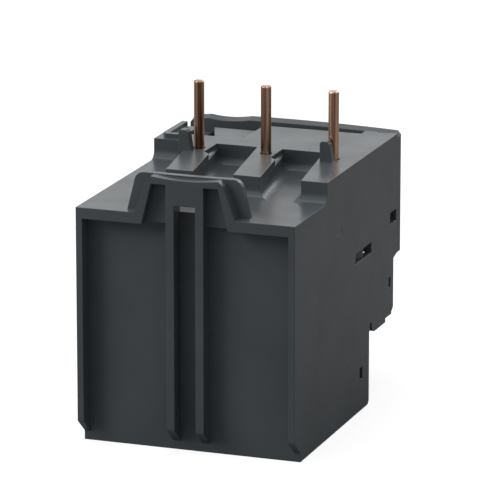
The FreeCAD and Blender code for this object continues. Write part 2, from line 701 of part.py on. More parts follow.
def rear_recesses():
    """Recessed rear panel beside and between the ribs, and the window under the hook."""
    inner = rib_gap / 2 + rib
    edge = width / 2 - side_frame
    low = -wall
    return [
        box("panel_left", (-edge, -inner), deep(-wall, recess), (low, rear_bar_low)),
        box("panel_right", (inner, edge), deep(-wall, recess), (low, rear_bar_low)),
        box("panel_mid", span(0, rib_gap / 2), deep(-wall, recess), (low, rear_top)),
        box(
            "hook_window",
            span(0, rib_gap / 2),
            deep(-wall, hook_depth + hook_back + wall),
            (rear_top, rear_top + hook_window),
        ),
        prism(
            "rib_foot_cut",
            "x",
            [(rear + wall, low), (rear - recess, low), (rear - recess, foot_slope - 0.4),
             ("arc", (rear - recess * 0.29, rib_foot - (rib_foot - foot_slope) * 0.77)),
             (rear, rib_foot), (rear + wall, rib_foot)],
            span(0, inner),
        ),
    ]


def side_windows():
    """Snap windows and slots through both side walls, as (depth span, height span)."""
    spots = {
        "snap": ((snap_rear, snap_front), (snap_low, snap_high)),
        "front": ((fascia_rear - 4.7, fascia_rear - 0.8), (34.2, 36.6)),
        "middle": ((aux_front - 3.1, aux_front - 1.9), (21.0, 23.2)),
        "lower": ((foot_front - 6, foot_front - 4.2), (6.6, 9.0)),
    }
    return [
        box(f"slot_{name}", (-width / 2 - wall, width / 2 + wall), deep(*d), z)
        for name, (d, z) in spots.items()
    ]


def guide_post(index, shift):
    """Guide post beside a pin, with a tapered outer side and a chamfered top."""
    centre = pin_x[index] + shift
    half = post_width / 2
    top = deck_top + post_height
    points = [
        (centre - half - post_draft, deck_top - wall),
        (centre - half - post_draft, deck_top),
        (centre - half, top - 0.5),
        (centre - half + 0.5, top),
        (centre + half - 0.4, top),
        (centre + half, top - 0.4),
        (centre + half, deck_top - wall),
    ]
    front_edge = pin_depth - pin_radius - post_room
    return prism(f"post_{index + 1}", "y", points, deep(front_edge - post_thick, front_edge))


def rear_housing():
    """Moulded shell: side walls, rear panel with ribs and hook, deck with fingers and posts."""
    shell = prism("shell", "x", shell_outline(), span(0, width / 2))
    cavity_outline = [
        (recess + rear_wall, wall),
        (recess + rear_wall, rear_top - wall),
        (deck_thick_to, rear_top - wall),
        (deck_thick_to, deck_top - wall),
        (depth, deck_top - wall),
        (depth, -wall),
        (block_rear - fit, -wall),
        (block_rear - fit, wall),
    ]
    cavity = prism(
        "cavity", "x", [(rear - d, z) for d, z in cavity_outline], span(0, inner_half)
    )
    hollow = cut("housing_hollow", shell, [cavity, deck_comb(), jog_pocket(0), jog_pocket(1)])
    rim_rear = notch_end + 0.9
    rim = [
        (rim_edge - 0.9, rim_rear), (rim_edge, rim_rear + 0.9), (rim_edge, corner_rear),
        (rim_edge - rim_thick, corner_rear), (rim_edge - rim_thick, rim_rear + rim_thick),
        (rim_inner, rim_rear + rim_thick), (rim_inner, rim_rear),
    ]
    slot_rear = fascia_rear - deck_gap
    low = deck_top - wall
    corner_floor = (low - corner_deep + 0.3, deck_top - corner_deep)
    added = hook_parts() + [
        guide_post(0, post_near),
        guide_post(2, post_far),
        prism("rim", "z", [(x, rear - d) for x, d in rim], (deck_top - fit, deck_top + rim_height)),
        box("pocket_bottom", (pocket_left - wall, pocket_step + pocket_slant),
            deep(pocket_rear - wall, pocket_rear + pocket_floor), (low - pocket_deep, deck_top - fit)),
        box("corner_bottom", (pocket_right, width / 2 - fit), deep(corner_rear - wall, fascia_rear),
            corner_floor),
        box("corner_riser", (pocket_right, width / 2 - fit), deep(corner_rear - wall, corner_rear),
            (corner_floor[0], deck_top - fit)),
    ]
    whole = fuse("housing_whole", [hollow] + added)
    tools = rear_recesses() + [hook_pocket(-1), hook_pocket(1)] + side_windows()
    tools += [
        rod(f"pin_hole_{k + 1}", "z", (x, rear - pin_depth), (rear_top - 2 * wall, deck_top + wall),
            pin_radius + pin_hole)
        for k, x in enumerate(pin_x)
    ]
    top = (low - pocket_deep - fit, deck_top + wall)
    floor_end = pocket_rear + pocket_floor
    hole = [(pocket_step, pocket_rear), (pocket_right, pocket_rear), (pocket_right, slot_rear),
            (pocket_step + pocket_slant, slot_rear), (pocket_step + pocket_slant, floor_end)]
    tools += [
        box("pocket_shallow", (pocket_left, pocket_right), deep(pocket_rear, floor_end),
            (deck_top - pocket_deep, deck_top + wall)),
        prism("pocket_hole", "z", [(x, rear - d) for x, d in hole], top),
        box("pocket_front", (pocket_left, pocket_right), deep(floor_end, slot_rear), top),
        box("corner_open", (pocket_right - fit, width / 2 + wall), deep(corner_rear, fascia_rear),
            (deck_top - corner_deep, deck_top + wall)),
        box("fascia_slot", (-slot_end, pocket_right), deep(slot_rear, fascia_rear), top),
        box("corner_slot", (-slot_end - 5.4, -slot_end - 2.6), deep(fascia_rear - 0.7, fascia_rear), top),
    ]
    return node(cut("rear_housing", whole, tools), "rear_housing")


def power_terminal_block():
    """Lower front block with a chamber, a wire entry and a driver hole for each pole."""
    outer = prism(
        "power_outer",
        "x",
        [(rear - d, z) for d, z in [
            (block_rear, 0), (block_rear, power_top), (foot_front - 0.3, power_top),
            (foot_front, power_top - 0.3), (foot_front, 0.7), (foot_front - 0.7, 0)]],
        span(0, piece_half),
    )
    tools = []
    for k, x in enumerate(pole_x):
        tools += [
            box(f"chamber_{k + 1}", span(x, chamber_half),
                deep(block_rear - wall, foot_front - front_wall), (chamber_low, chamber_high)),
            box(f"wire_entry_{k + 1}", span(x, chamber_half - 0.5),
                deep(bar_depth + bar_thick + 0.1, bar_depth + bar_thick + power_gap),
                (-wall, chamber_low + fit)),
            rod(f"driver_hole_{k + 1}", "y", (x, power_axis),
                deep(foot_front - 2 * front_wall, foot_front + wall), power_driver),
        ]
    for k in (0, 1):
        tools.append(box(f"groove_{k + 1}", span(pole_x[1] + pole_pitch * (k - 0.5), 0.6),
                         deep(foot_front - 0.8, foot_front + wall), (-wall, power_top - 2)))
    return node(cut("power_terminal_block", outer, tools), "power_terminal_block")


def aux_terminal_block():
    """Middle front block with four chambers, wire entries below and driver holes in front."""
    rear_face = foot_front + step_gap
    outline = [
        (rear_face, aux_floor + 1.9), (rear_face + 0.56, aux_floor + 0.56),
        (rear_face + 1.9, aux_floor), (aux_front - 5, aux_floor),
        (aux_front - 5, aux_floor + 0.8), (aux_front - 1.1, aux_floor + 0.8),
        (aux_front - 1.1, aux_floor + aux_lip - 0.7),
        (aux_front, aux_floor + aux_lip), (aux_front, aux_top), (rear_face, aux_top),
    ]
    outer = prism("aux_outer", "x", [(rear - d, z) for d, z in outline], span(0, piece_half))
    tools = []
    for k, x in enumerate(aux_x):
        tools += [
            box(f"aux_chamber_{k + 1}", span(x, aux_half),
                deep(rear_face - wall, aux_front - front_wall), (aux_low, aux_rise)),
            box(f"aux_entry_{k + 1}", span(x, aux_half - fit),
                deep(plate_depth + plate_thick + 0.1, plate_depth + plate_thick + aux_gap),
                (aux_floor - wall, aux_low + fit)),
            box(f"riser_slot_{k + 1}", span(x, riser_half + 0.2),
                deep(rear_face - wall, plate_depth + plate_thick + 0.2),
                (aux_rise - fit, aux_top + wall)),
            rod(f"aux_driver_hole_{k + 1}", "y", (x, aux_axis),
                deep(aux_front - 2 * front_wall, aux_front + wall), aux_driver),
        ]
    return node(cut("aux_terminal_block", outer, tools), "aux_terminal_block")


def fascia_outline(top):
    """Front view of the fascia up to a top level: a gentle arch with a finger recess."""
    half = width / 2
    recess_x = pocket_right - 3.3
    return [
        (-half, fascia_low),
        (-half, top - 1.2),
        (-half + 0.7, top - 0.45),
        ("arc", (-half / 4, top)),
        (recess_x - 4.6, top),
        ("arc", (recess_x, top - 0.5)),
        (recess_x + 4.2, top - 0.2),
        (half - 0.7, top - 0.6),
        (half, top - 1.3),
        (half, fascia_low),
    ]


def fascia_plate():
    """Fascia plate whose top rises from its rear to its front face."""
    outlines = []
    for name, at, top in (("rear", fascia_rear, deck_top + 0.1), ("front", fascia_front, deck_top + 0.6)):
        sketch = doc.addObject("Sketcher::SketchObject", f"fascia_{name}_outline")
        place(sketch, SKETCH_TURN["y"], 0, rear - at, 0)
        draw(sketch, fascia_outline(top))
        outlines.append(sketch)
    plate = doc.addObject("Part::Loft", "fascia_plate")
    plate.Sections = outlines
    plate.Solid = True
    plate.Ruled = True
    return plate


def cup(name, x, z, radius, stem):
    """Cup behind the fascia that guides a button, as (solid, bore and stem hole)."""
    bore = radius + button_bore
    shell = rod(f"{name}_cup", "y", (x, z), deep(cup_floor, fascia_rear + fit), bore + cup_wall)
    hollow = rod(f"{name}_bore", "y", (x, z), deep(cup_floor + cup_wall, fascia_front + wall), bore)
    hole = rod(f"{name}_hole", "y", (x, z), deep(cup_floor - wall, cup_floor + wall), stem + running)
    return shell, [hollow, hole]


def snap_arm(side):
    """Side arm of the fascia whose barb catches in the housing's snap window."""
    inner = (piece_half - arm_thick) * side
    outer = piece_half * side
    x = (inner, outer) if side > 0 else (outer, inner)
    name = "right" if side > 0 else "left"
    arm = box(f"arm_{name}", x, deep(snap_rear + 1.5, fascia_rear + fit), (arm_low, arm_high))
    tip = snap_rear + 0.5
    points = [(outer - 0.2 * side, tip), (inner, tip), (inner, tip + 7.6), (outer, tip + 7.6),
              (outer + 1.1 * side, tip + 5.6), (outer + 1.1 * side, tip + 5)]
    barb = prism(f"barb_{name}", "z", [(x, rear - d) for x, d in points], (arm_low, arm_high))
    return [arm, barb]


def front_fascia():
    """Upper front cover with cups, dial bearing, slots, hinge lugs and snap arms."""
    plate = fascia_plate()
    stop_cup, stop_tools = cup("stop", stop_x, stop_z, stop_radius, stem_radius)
    reset_cup, reset_tools = cup("reset", reset_x, reset_z, reset_radius, stem_radius)
    lugs = []
    for name, low in (("low", window_low + 0.2), ("high", window_high - 0.2 - lug_high)):
        lugs.append(box(f"lug_{name}", span(hinge_x, knuckle - clear),
                        deep(fascia_front - fit, hinge_depth + 0.8), (low, low + lug_high)))
    bearing = rod("dial_bearing", "y", (dial_x, dial_z), deep(fascia_rear - 3.2, fascia_rear + fit),
                  dial_shaft + 1.6)
    whole = fuse("fascia_whole",
                 [plate, stop_cup, reset_cup, bearing] + lugs + snap_arm(1) + snap_arm(-1))
    tools = stop_tools + reset_tools + [
        rod("dial_bore", "y", (dial_x, dial_z), deep(fascia_rear - 4.2, fascia_front + wall),
            dial_shaft + running),
        rod("hinge_bore", "z", (hinge_x, rear - hinge_depth), (window_low - wall, window_high + wall),
            hinge_pin),
        box("test_slot", (test_x - 1.4, test_x + 1.4 + test_travel),
            deep(fascia_rear - wall, fascia_front + wall), span(test_z, 1.3)),
        box("flag_slot", span(flag_x, flag_half - 0.6), deep(fascia_rear - wall, fascia_front + wall),
            (flag_low + 1.4, flag_high - 1.4)),
    ]
    return node(cut("front_fascia", whole, tools), "front_fascia")


def mechanism_plate():
    """Wall between the heated poles and the switch, with guides and the upper spring seat."""
    plate = box("mechanism_wall", span(0, piece_half), deep(plate_rear, plate_rear + plate_wall),
                (power_top + fit, deck_top - wall - fit))
    face = plate_rear + plate_wall
    seat = box("spring_seat", span(0, 3), deep(face - fit, contact_depth + 2),
               (spring_seat, spring_seat + wall))
    guides = [
        box(f"guide_{name}", x, deep(face - fit, plate_depth - clear), (beam_low - 5.5, beam_low + 9))
        for name, x in (("left", (-tongue_half - 1.35, -tongue_half - 0.15)),
                        ("right", (tongue_half + 0.15, tongue_half + 1.35)))
    ]
    whole = fuse("mechanism_whole", [plate, seat] + guides)
    low = rail_top + clear
    tools = [
        box("finger_window", (slide_right - 1 - clear, slide_right + 1 + slide_travel + clear),
            deep(plate_rear - wall, face + wall), (low - clear, low + slide_thick + clear)),
        rod("pivot_hole", "y", (lever_x, setting_z), deep(plate_rear - wall, face + wall), pivot_radius),
    ]
    for name, side in (("left", -1), ("right", 1)):
        ends = ((piece_half - arm_thick - clear) * side, (piece_half + wall) * side)
        tools.append(box(f"arm_notch_{name}", ends[::side], deep(plate_rear - wall, face + wall),
                         (arm_low - clear, arm_high + clear)))
    tools += [
        rod(f"tip_hole_{k + 1}", "y", (x, aux_axis), deep(plate_rear - wall, face + wall),
            aux_shank + 2 * clear)
        for k, x in enumerate(aux_x)
    ]
    return node(cut("mechanism_plate", whole, tools), "mechanism_plate")


def bimetal_carrier():
    """Bar on the floor that holds the feet of the three strips and seats the sleeves."""
    bar = box("carrier_bar", span(0, piece_half),
              deep(pole_depth - carrier_depth / 2, pole_depth + carrier_depth / 2),
              (wall, carrier_top))
    tools = [
        box(f"foot_slot_{k + 1}", span(x, strip_thick / 2 + 0.15),
            deep(pole_depth - strip_width / 2 - 0.15, pole_depth + strip_width / 2 + 0.15),
            (strip_foot - 0.1, carrier_top + wall))
        for k, x in enumerate(pole_x)
    ]
    return node(cut("bimetal_carrier", bar, tools), "bimetal_carrier")


def slide_rail_frame():
    """Frame with two rails that carries the slides."""
    outer = box("rail_outer", span(0, piece_half), deep(slide_rear - 1, slide_front + 1),
                (rail_top - rail_thick, rail_top))
    hole = box("rail_hole", span(0, piece_half - 1.2), deep(slide_rear + 2, slide_front - 2),
               (rail_top - rail_thick - wall, rail_top + wall))
    return node(cut("slide_rail_frame", outer, [hole]), "slide_rail_frame")


def slide(name, low, with_finger):
    """Flat slide with a slot for each strip. The main one has the finger that trips."""
    plate = box(f"{name}_plate", (-slide_left, slide_right), deep(slide_rear, slide_front),
                (low, low + slide_thick))
    parts = [plate]
    if with_finger:
        parts.append(box(f"{name}_finger", (slide_right - 1, slide_right + 1 - trip_gap),
                         deep(slide_front - wall, lever_depth + lever_thick),
                         (low + slide_thick / 2 - 0.5, low + slide_thick / 2 + 0.5)))
    body = fuse(f"{name}_body", parts) if with_finger else plate
    tools = [
        box(f"{name}_slot_{k + 1}", span(x, strip_thick / 2 + clear),
            deep(pole_depth - strip_width / 2 - clear, pole_depth + strip_width / 2 + clear),
            (low - wall, low + slide_thick + wall))
        for k, x in enumerate(pole_x)
    ]
    tools += [
        box(f"{name}_light_{k}", span(pole_pitch * (k - 0.5), 3.5),
            deep(slide_rear + 3, slide_front - 3), (low - wall, low + slide_thick + wall))
        for k in (0, 1)
    ]
    return node(cut(name, body, tools), name)


def contact_pin(index):
    """Copper pin that stands on the deck, its thinner shank bent back to the top of its heater."""
    x = pin_x[index].value
    y = (rear - pin_depth).value
    z = (coil_start + coil_pitch * coil_turns).value
    end = (rear - pole_depth - sleeve_bore - sleeve_wall - 2 * running - 2 * coil_wire).value
    points = [V(x, y, deck_top.value), V(x, y, z), V(pole_x[index].value, end - 2 * running.value, z)]
    name = f"contact_pin_{index + 1}"
    shank = bent_rod(f"{name}_shank", points, shank_radius.value, pin_bend.value)
    stud = rod(f"{name}_stud", "z", (pin_x[index], rear - pin_depth), (deck_top, height), pin_radius)
    whole = fuse(f"{name}_whole", [shank, stud])
    top = height.value - 0.01
    return node(rounded(name, whole, pin_round, lambda edge: edge.BoundBox.ZMin > top), name)


def pole(index):
    """Bimetal strip, sleeve, heater coil and terminal bar of one pole."""
    x = pole_x[index]
    number = index + 1
    strip = box(f"bimetal_strip_{number}", span(x, strip_thick / 2),
                deep(pole_depth - strip_width / 2, pole_depth + strip_width / 2),
                (strip_foot, strip_tip))
    node(strip, f"bimetal_strip_{number}")
    centre = (x, rear - pole_depth)
    ends = (carrier_top, carrier_top + sleeve_height)
    sleeve = cut(f"insulating_sleeve_{number}",
                 rod(f"sleeve_outer_{number}", "z", centre, ends, sleeve_bore + sleeve_wall),
                 [rod(f"sleeve_bore_{number}", "z", centre,
                      (ends[0] - wall, ends[1] + wall), sleeve_bore)])
    node(sleeve, f"insulating_sleeve_{number}")
    radius = sleeve_bore + sleeve_wall + running + coil_wire
    winding = coil(f"heater_coil_{number}", radius.value, coil_wire.value, coil_pitch.value,
                   coil_turns.value, FreeCAD.Rotation(V(0, 0, 1), -90),
                   V(x.value, centre[1].value, coil_start.value))
    node(winding, f"heater_coil_{number}")
    tab = pole_depth + radius + coil_wire + running
    face = bar_depth + bar_thick
    solid = fuse(f"bar_whole_{number}", [
        box(f"bar_tab_{number}", span(x, bar_half), deep(tab, tab + bar_thick),
            (bar_leg, coil_start + coil_wire)),
        box(f"bar_leg_{number}", span(x, bar_half), deep(tab, face), (bar_leg, bar_leg + bar_thick)),
        box(f"bar_plate_{number}", span(x, chamber_half - 0.15), deep(bar_depth, face),
            span(power_axis, bar_plate)),
    ])
    hole = rod(f"bar_thread_{number}", "y", (x, power_axis), deep(bar_depth - wall, face + wall),
               power_shank + running)
    node(cut(f"terminal_bar_{number}", solid, [hole]), f"terminal_bar_{number}")


def clamp(name, x, z, face, thick, half, rise, shank):
    """Captive clamp plate with two gripping lips and a hole for its screw."""
    whole = fuse(f"{name}_whole", [
        box(f"{name}_plate", span(x, half), deep(face, face + thick), span(z, rise)),
        box(f"{name}_lip_left", (x - half, x - half + 0.8),
            deep(face - clamp_lip * 0.4, face + thick / 2), span(z, rise - 0.6)),
        box(f"{name}_lip_right", (x + half - 0.8, x + half),
            deep(face - clamp_lip * 0.4, face + thick / 2), span(z, rise - 0.6)),
    ])
    hole = rod(f"{name}_bore", "y", (x, z), deep(face - wall, face + thick + wall), shank + running)
    return node(cut(name, whole, [hole]), name)


def screw(name, x, z, tip, seat, head, head_radius, shank):
    """Pan head screw with a cross recess, its head against the seat depth."""
    front_depth = seat + head
    outline = [
        (0, tip), (shank - 0.4, tip), (shank, tip + 0.4), (shank, seat),
        (head_radius, seat), (head_radius, front_depth - 0.5), (head_radius - 0.5, front_depth),
        (0, front_depth),
    ]
    body = turned(name, outline, x, front_depth, z)
    ends = (-wall, recess_deep)
    body_box(body, name + "_slot_across", span(0, head_radius * 0.68), span(0, recess_width / 2), ends)
    body_box(body, name + "_slot_upright", span(0, recess_width / 2), span(0, head_radius * 0.68), ends)
    return node(body, name)


def power_terminal(index):
    """Clamp and screw of one power terminal, shown open."""
    x = pole_x[index]
    face = bar_depth + bar_thick + power_gap
    seat = face + clamp_thick + running
    clamp(f"power_clamp_{index + 1}", x, power_axis, face, clamp_thick, clamp_half, clamp_rise,
          power_shank)
    screw(f"power_screw_{index + 1}", x, power_axis, bar_depth - 0.1, seat, head_thick, power_head,
          power_shank)


def aux_terminal(index):
    """Contact plate with riser and rivet, clamp and screw of one auxiliary terminal."""
    x = aux_x[index]
    number = index + 1
    closed = index < 2
    shelf = shelf_closed if closed else shelf_open
    face = plate_depth + plate_thick
    rivet = (shelf + plate_thick - fit, shelf + plate_thick + rivet_high) if closed else (
        shelf - rivet_high, shelf + fit)
    whole = fuse(f"contact_whole_{number}", [
        box(f"contact_foot_{number}", span(x, plate_half), deep(plate_depth, face),
            (plate_low, aux_rise - 0.2)),
        box(f"contact_riser_{number}", span(x, riser_half), deep(plate_depth, face),
            (aux_rise - wall, shelf + plate_thick)),
        box(f"contact_shelf_{number}", span(x, riser_half), deep(plate_depth, shelf_end),
            (shelf, shelf + plate_thick)),
        rod(f"contact_rivet_{number}", "z", (x, rear - contact_depth), rivet, rivet_radius),
    ])
    hole = rod(f"contact_thread_{number}", "y", (x, aux_axis), deep(plate_depth - wall, face + wall),
               aux_shank + running)
    name = f"aux_contact_plate_{number}"
    node(cut(name, whole, [hole]), name)
    open_face = face + aux_gap
    clamp(f"aux_clamp_{number}", x, aux_axis, open_face, plate_thick, aux_clamp_half,
          aux_clamp_rise, aux_shank)
    screw(f"aux_screw_{number}", x, aux_axis, plate_depth - clear, open_face + plate_thick + running,
          aux_head_thick, aux_head, aux_shank)


def trip_lever():
    """Bell crank: the slide pushes its upright strip, and its arm lifts the carrier."""
    y = deep(lever_depth, lever_depth + lever_thick)
    hub = rod("lever_hub", "y", (lever_x, lever_z), y, lever_hub)
    arm = box("lever_arm", (lever_x - lever_arm - 0.5, lever_x), y, (lever_z - 0.8, lever_z + 1))
    strip = slide_right + 1
    holder = box("lever_holder", (strip - 0.55, strip + compensation + 0.65), y,
                 (lever_z, lever_z + 3.6))
    whole = fuse("lever_whole", [hub, arm, holder])
    through = deep(lever_depth - wall, lever_depth + 2 * lever_thick)
    tools = [
        rod("lever_bore", "y", (lever_x, lever_z), through, pivot_radius + running),
        box("lever_slot", (strip, strip + compensation), through, (lever_z + 1.4, lever_z + 5)),
    ]
    node(cut("trip_lever", whole, tools), "trip_lever")
    blade = box("compensation_strip", (strip, strip + compensation),
                deep(lever_depth + 0.1, lever_depth + lever_thick - 0.1),
                (lever_z + 1.4, compensation_tip))
    node(blade, "compensation_strip")


def setting_lever():
    """Lever that the cam pushes: it hangs on its pin and carries the trip lever's pivot."""
    y = deep(setting_depth, setting_depth + setting_thick)
    nose = dial_x + cam_radius + cam_rise * cam_step / 360 + running
    whole = fuse("setting_whole", [
        box("setting_bar", span(lever_x, setting_half), y, (lever_z - setting_half, setting_z + 1.6)),
        box("setting_nose", (nose, lever_x), y, span(dial_z, 1)),
        rod("setting_stud", "y", (lever_x, lever_z), deep(lever_depth - 0.2, setting_depth + fit),
            pivot_radius),
    ])
    hole = rod("setting_bore", "y", (lever_x, setting_z),
               deep(setting_depth - wall, setting_depth + setting_thick + wall), pivot_radius + running)
    node(cut("setting_lever", whole, [hole]), "setting_lever")
    pin = rod("setting_pivot_pin", "y", (lever_x, setting_z),
              deep(plate_rear, setting_depth + setting_thick + 0.8), pivot_radius)
    node(pin, "setting_pivot_pin")


def setting_dial():
    """Dial with a pointer rib and a driver slot, on a round shaft with a square end."""
    shaft_rear = cam_depth + cam_thick + fit
    head_rear = fascia_front + clear
    outline = [
        (0, shaft_rear), (dial_shaft, shaft_rear), (dial_shaft, head_rear),
        (dial_radius, head_rear), (dial_radius, control_front - 1.6),
        (dial_radius - 0.9, control_front - 1.2), (dial_radius - 1.3, control_front), (0, control_front),
    ]
    body = turned("setting_dial_turned", outline, dial_x, control_front, dial_z)
    ends = (-wall, 1.3)
    body_box(body, "dial_slot", span(0, dial_radius * 0.5), span(0, 0.6), ends)
    square = box("dial_square", span(dial_x, dial_square / 2), deep(cam_depth, shaft_rear + fit),
                 span(dial_z, dial_square / 2))
    node(fuse("setting_dial", [body, square]), "setting_dial")


def setting_cam():
    """Snail cam whose radius grows evenly with the angle, pressed on the dial's square end."""
    start = cam_radius.value
    rise = cam_rise.value
    steps = 36
    points = []
    for step in range(steps + 1):
        angle = 2 * math.pi * step / steps - math.radians(cam_step.value)
        r = start + rise * step / steps
        points.append(V(r * math.cos(angle), 0, r * math.sin(angle)))
    curve = Part.BSplineCurve()
    curve.interpolate(points)
    edge = Part.Wire([curve.toShape(), Part.LineSegment(points[-1], points[0]).toShape()])
    disc = Part.Face(edge).extrude(V(0, -cam_thick.value, 0))
    half = dial_square.value / 2
    hole = Part.makeBox(2 * half, 4 * cam_thick.value, 2 * half, V(-half, -2 * cam_thick.value, -half))
    solid = doc.addObject("Part::Feature", "setting_cam")
    solid.Shape = disc.cut(hole)
    solid.Placement = FreeCAD.Placement(V(dial_x.value, (rear - cam_depth).value, dial_z.value),
                                        FreeCAD.Rotation())
    return node(solid, "setting_cam")


def bridge_levels():
    """Rest heights of the undersides of the closed and the open bridge strip."""
    closed = shelf_closed + plate_thick + 2 * rivet_high + rivet_gap
    opened = shelf_open - 2 * rivet_high - rivet_gap - carrier_lift - bridge_thick
    return closed, opened


def contact_carrier():
    """Moulded carrier: beam, guide tongue, a hanger for each bridge and the lifting lug."""
    closed, opened = bridge_levels()
    y = deep(contact_depth - beam_depth / 2, contact_depth + beam_depth / 2)
    slot = deep(contact_depth - bridge_depth / 2 - running, contact_depth + bridge_depth / 2 + running)
    tongue = deep(plate_rear + plate_wall + clear, contact_depth - beam_depth / 2 + fit)
    hang = aux_pitch
    whole = fuse("carrier_whole", [
        box("carrier_beam", span(0, hang + 1.5), y, (beam_low, beam_low + beam_thick)),
        box("carrier_tongue", span(0, tongue_half), tongue, (beam_low - 2, beam_low + 5)),
        box("hanger_closed", span(-hang, 1.5), y, (closed - 1, beam_low + fit)),
        box("hanger_open", span(hang, 1.5), y, (opened - 1, beam_low + fit)),
        box("lifting_lug", span(lift_x, lug_half), deep(lever_depth, contact_depth),
            (beam_low - 2, beam_low + beam_thick)),
        box("lifting_foot", span(lift_x, 0.35), deep(lever_depth, lever_depth + lever_thick),
            (lever_z + 1.2, beam_low)),
    ])
    tools = [
        box("bridge_slot_closed", span(-hang, 4), slot,
            (closed - running, closed + bridge_thick + running)),
        box("bridge_slot_open", span(hang, 4), slot,
            (opened - running, opened + bridge_thick + running)),
    ]
    node(cut("contact_carrier", whole, tools), "contact_carrier")


def bridge(name, x, low, rivet):
    """Contact strip with a rivet at each end, on the side that meets the shelves."""
    y = deep(contact_depth - bridge_depth / 2, contact_depth + bridge_depth / 2)
    parts = [box(f"{name}_strip", span(x, aux_pitch / 2 + 1.8), y, (low, low + bridge_thick))]
    for side, label in ((-1, "left"), (1, "right")):
        parts.append(rod(f"{name}_rivet_{label}", "z", (x + aux_pitch / 2 * side, rear - contact_depth),
                         rivet, rivet_radius))
    return fuse(name, parts)


def contact_bridges():
    """The closed pair's strip over its shelves and the open pair's under them."""
    closed, opened = bridge_levels()
    pair = doc.addObject("Part::Compound", "contact_bridges")
    pair.Links = [
        bridge("bridge_closed", -aux_pitch, closed, (closed - rivet_high, closed + fit)),
        bridge("bridge_open", aux_pitch, opened,
               (opened + bridge_thick - fit, opened + bridge_thick + rivet_high)),
    ]
    node(pair, "contact_bridges")


def trip_flag():
    """Flag behind the fascia's window, on an arm clipped to the carrier's beam."""
    beam_face = contact_depth + beam_depth / 2
    whole = fuse("trip_flag", [
        box("flag_arm", span(flag_x, 1), deep(beam_face, flag_depth + fit),
            (beam_low + 0.2, beam_low + 1.6)),
        box("flag_plate", span(flag_x, flag_half), deep(flag_depth, flag_depth + 1), (flag_low, flag_high)),
    ])
    node(whole, "trip_flag")


def compression_spring(name, radius, wire, turns, low, high, axis, centre):
    """Helical spring between two levels, with half a wire's room at each end."""
    length = high - low - 2 * wire - 0.1
    base = low + wire + 0.05
    if axis == "z":
        where = V(centre[0], centre[1], base)
        turn = FreeCAD.Rotation()
    else:
        where = V(centre[0], base, centre[1])
        turn = BAR_TURN["y"]
    return node(coil(name, radius, wire, length / turns, turns, turn, where), name)


def springs():
    """Springs of the carrier and of the two buttons."""
    wire = spring_wire.value
    compression_spring("carrier_spring", 1.5, wire, 6, (beam_low + beam_thick).value,
                       spring_seat.value, "z", (0, (rear - contact_depth).value))
    ends = ((rear - button_rear).value, (rear - cup_floor - cup_wall).value)
    compression_spring("stop_spring", button_spring.value, wire, 2.5, *ends, "y",
                       (stop_x.value, stop_z.value))
    compression_spring("reset_spring", button_spring.value, wire, 2.5, *ends, "y",
                       (reset_x.value, reset_z.value))


def stop_button():
    """Round push button with a dished face, its stem through the cup and a snap collar."""
    collar = cup_floor - 0.3
    outline = [
        (0, stem_end), (stem_radius + 0.5, stem_end + 0.6), (stem_radius + 0.5, collar),
        (stem_radius, collar), (stem_radius, button_rear), (stop_radius, button_rear),
        (stop_radius, control_front - 0.5), (stop_radius - 0.5, control_front),
        (stop_radius - 0.9, control_front), (0, control_front - 0.4),
    ]
    node(turned("stop_button", outline, stop_x, control_front, stop_z), "stop_button")


def reset_parts():
    """Reset plunger that slides in the cup, and the button that turns on its spigot."""
    collar = cup_floor - 0.3
    spigot = button_rear + 2.2
    outline = [
        (0, stem_end), (stem_radius + 0.5, stem_end + 0.6), (stem_radius + 0.5, collar),
        (stem_radius, collar), (stem_radius, button_rear), (reset_radius - 0.8, button_rear),
        (reset_radius - 0.8, button_rear + 0.8), (stem_radius + 0.4, button_rear + 0.8),
        (stem_radius + 0.4, spigot), (0, spigot),
    ]
    node(turned("reset_plunger", outline, reset_x, spigot, reset_z), "reset_plunger")
    low = button_rear + 0.8 + running
    inner = stem_radius + 0.4 + running
    cap = [
        (inner, low), (reset_radius, low), (reset_radius, control_front - 0.6),
        (reset_radius - 0.6, control_front), (0, control_front), (0, spigot + running),
        (inner, spigot + running),
    ]
    body = turned("reset_button", cap, reset_x, control_front, reset_z)
    body_box(body, "reset_slot", span(0, reset_radius * 0.62), span(0, 0.65), (-wall, 1.2))
    node(body, "reset_button")


def test_slider():
    """Small slider with a knob in front of the fascia and a keeper behind it."""
    whole = fuse("test_slider", [
        box("test_knob", span(test_x, 1.9), deep(fascia_front + clear, fascia_front + 1.8),
            span(test_z, 1.9)),
        box("test_stem", span(test_x, 1.2), deep(fascia_rear - 1.6, fascia_front + 1),
            span(test_z, 1.1)),
        box("test_keeper", span(test_x, 2.1), deep(fascia_rear - 1.6, fascia_rear - clear),
            span(test_z, 2.1)),
    ])
    node(whole, "test_slider")


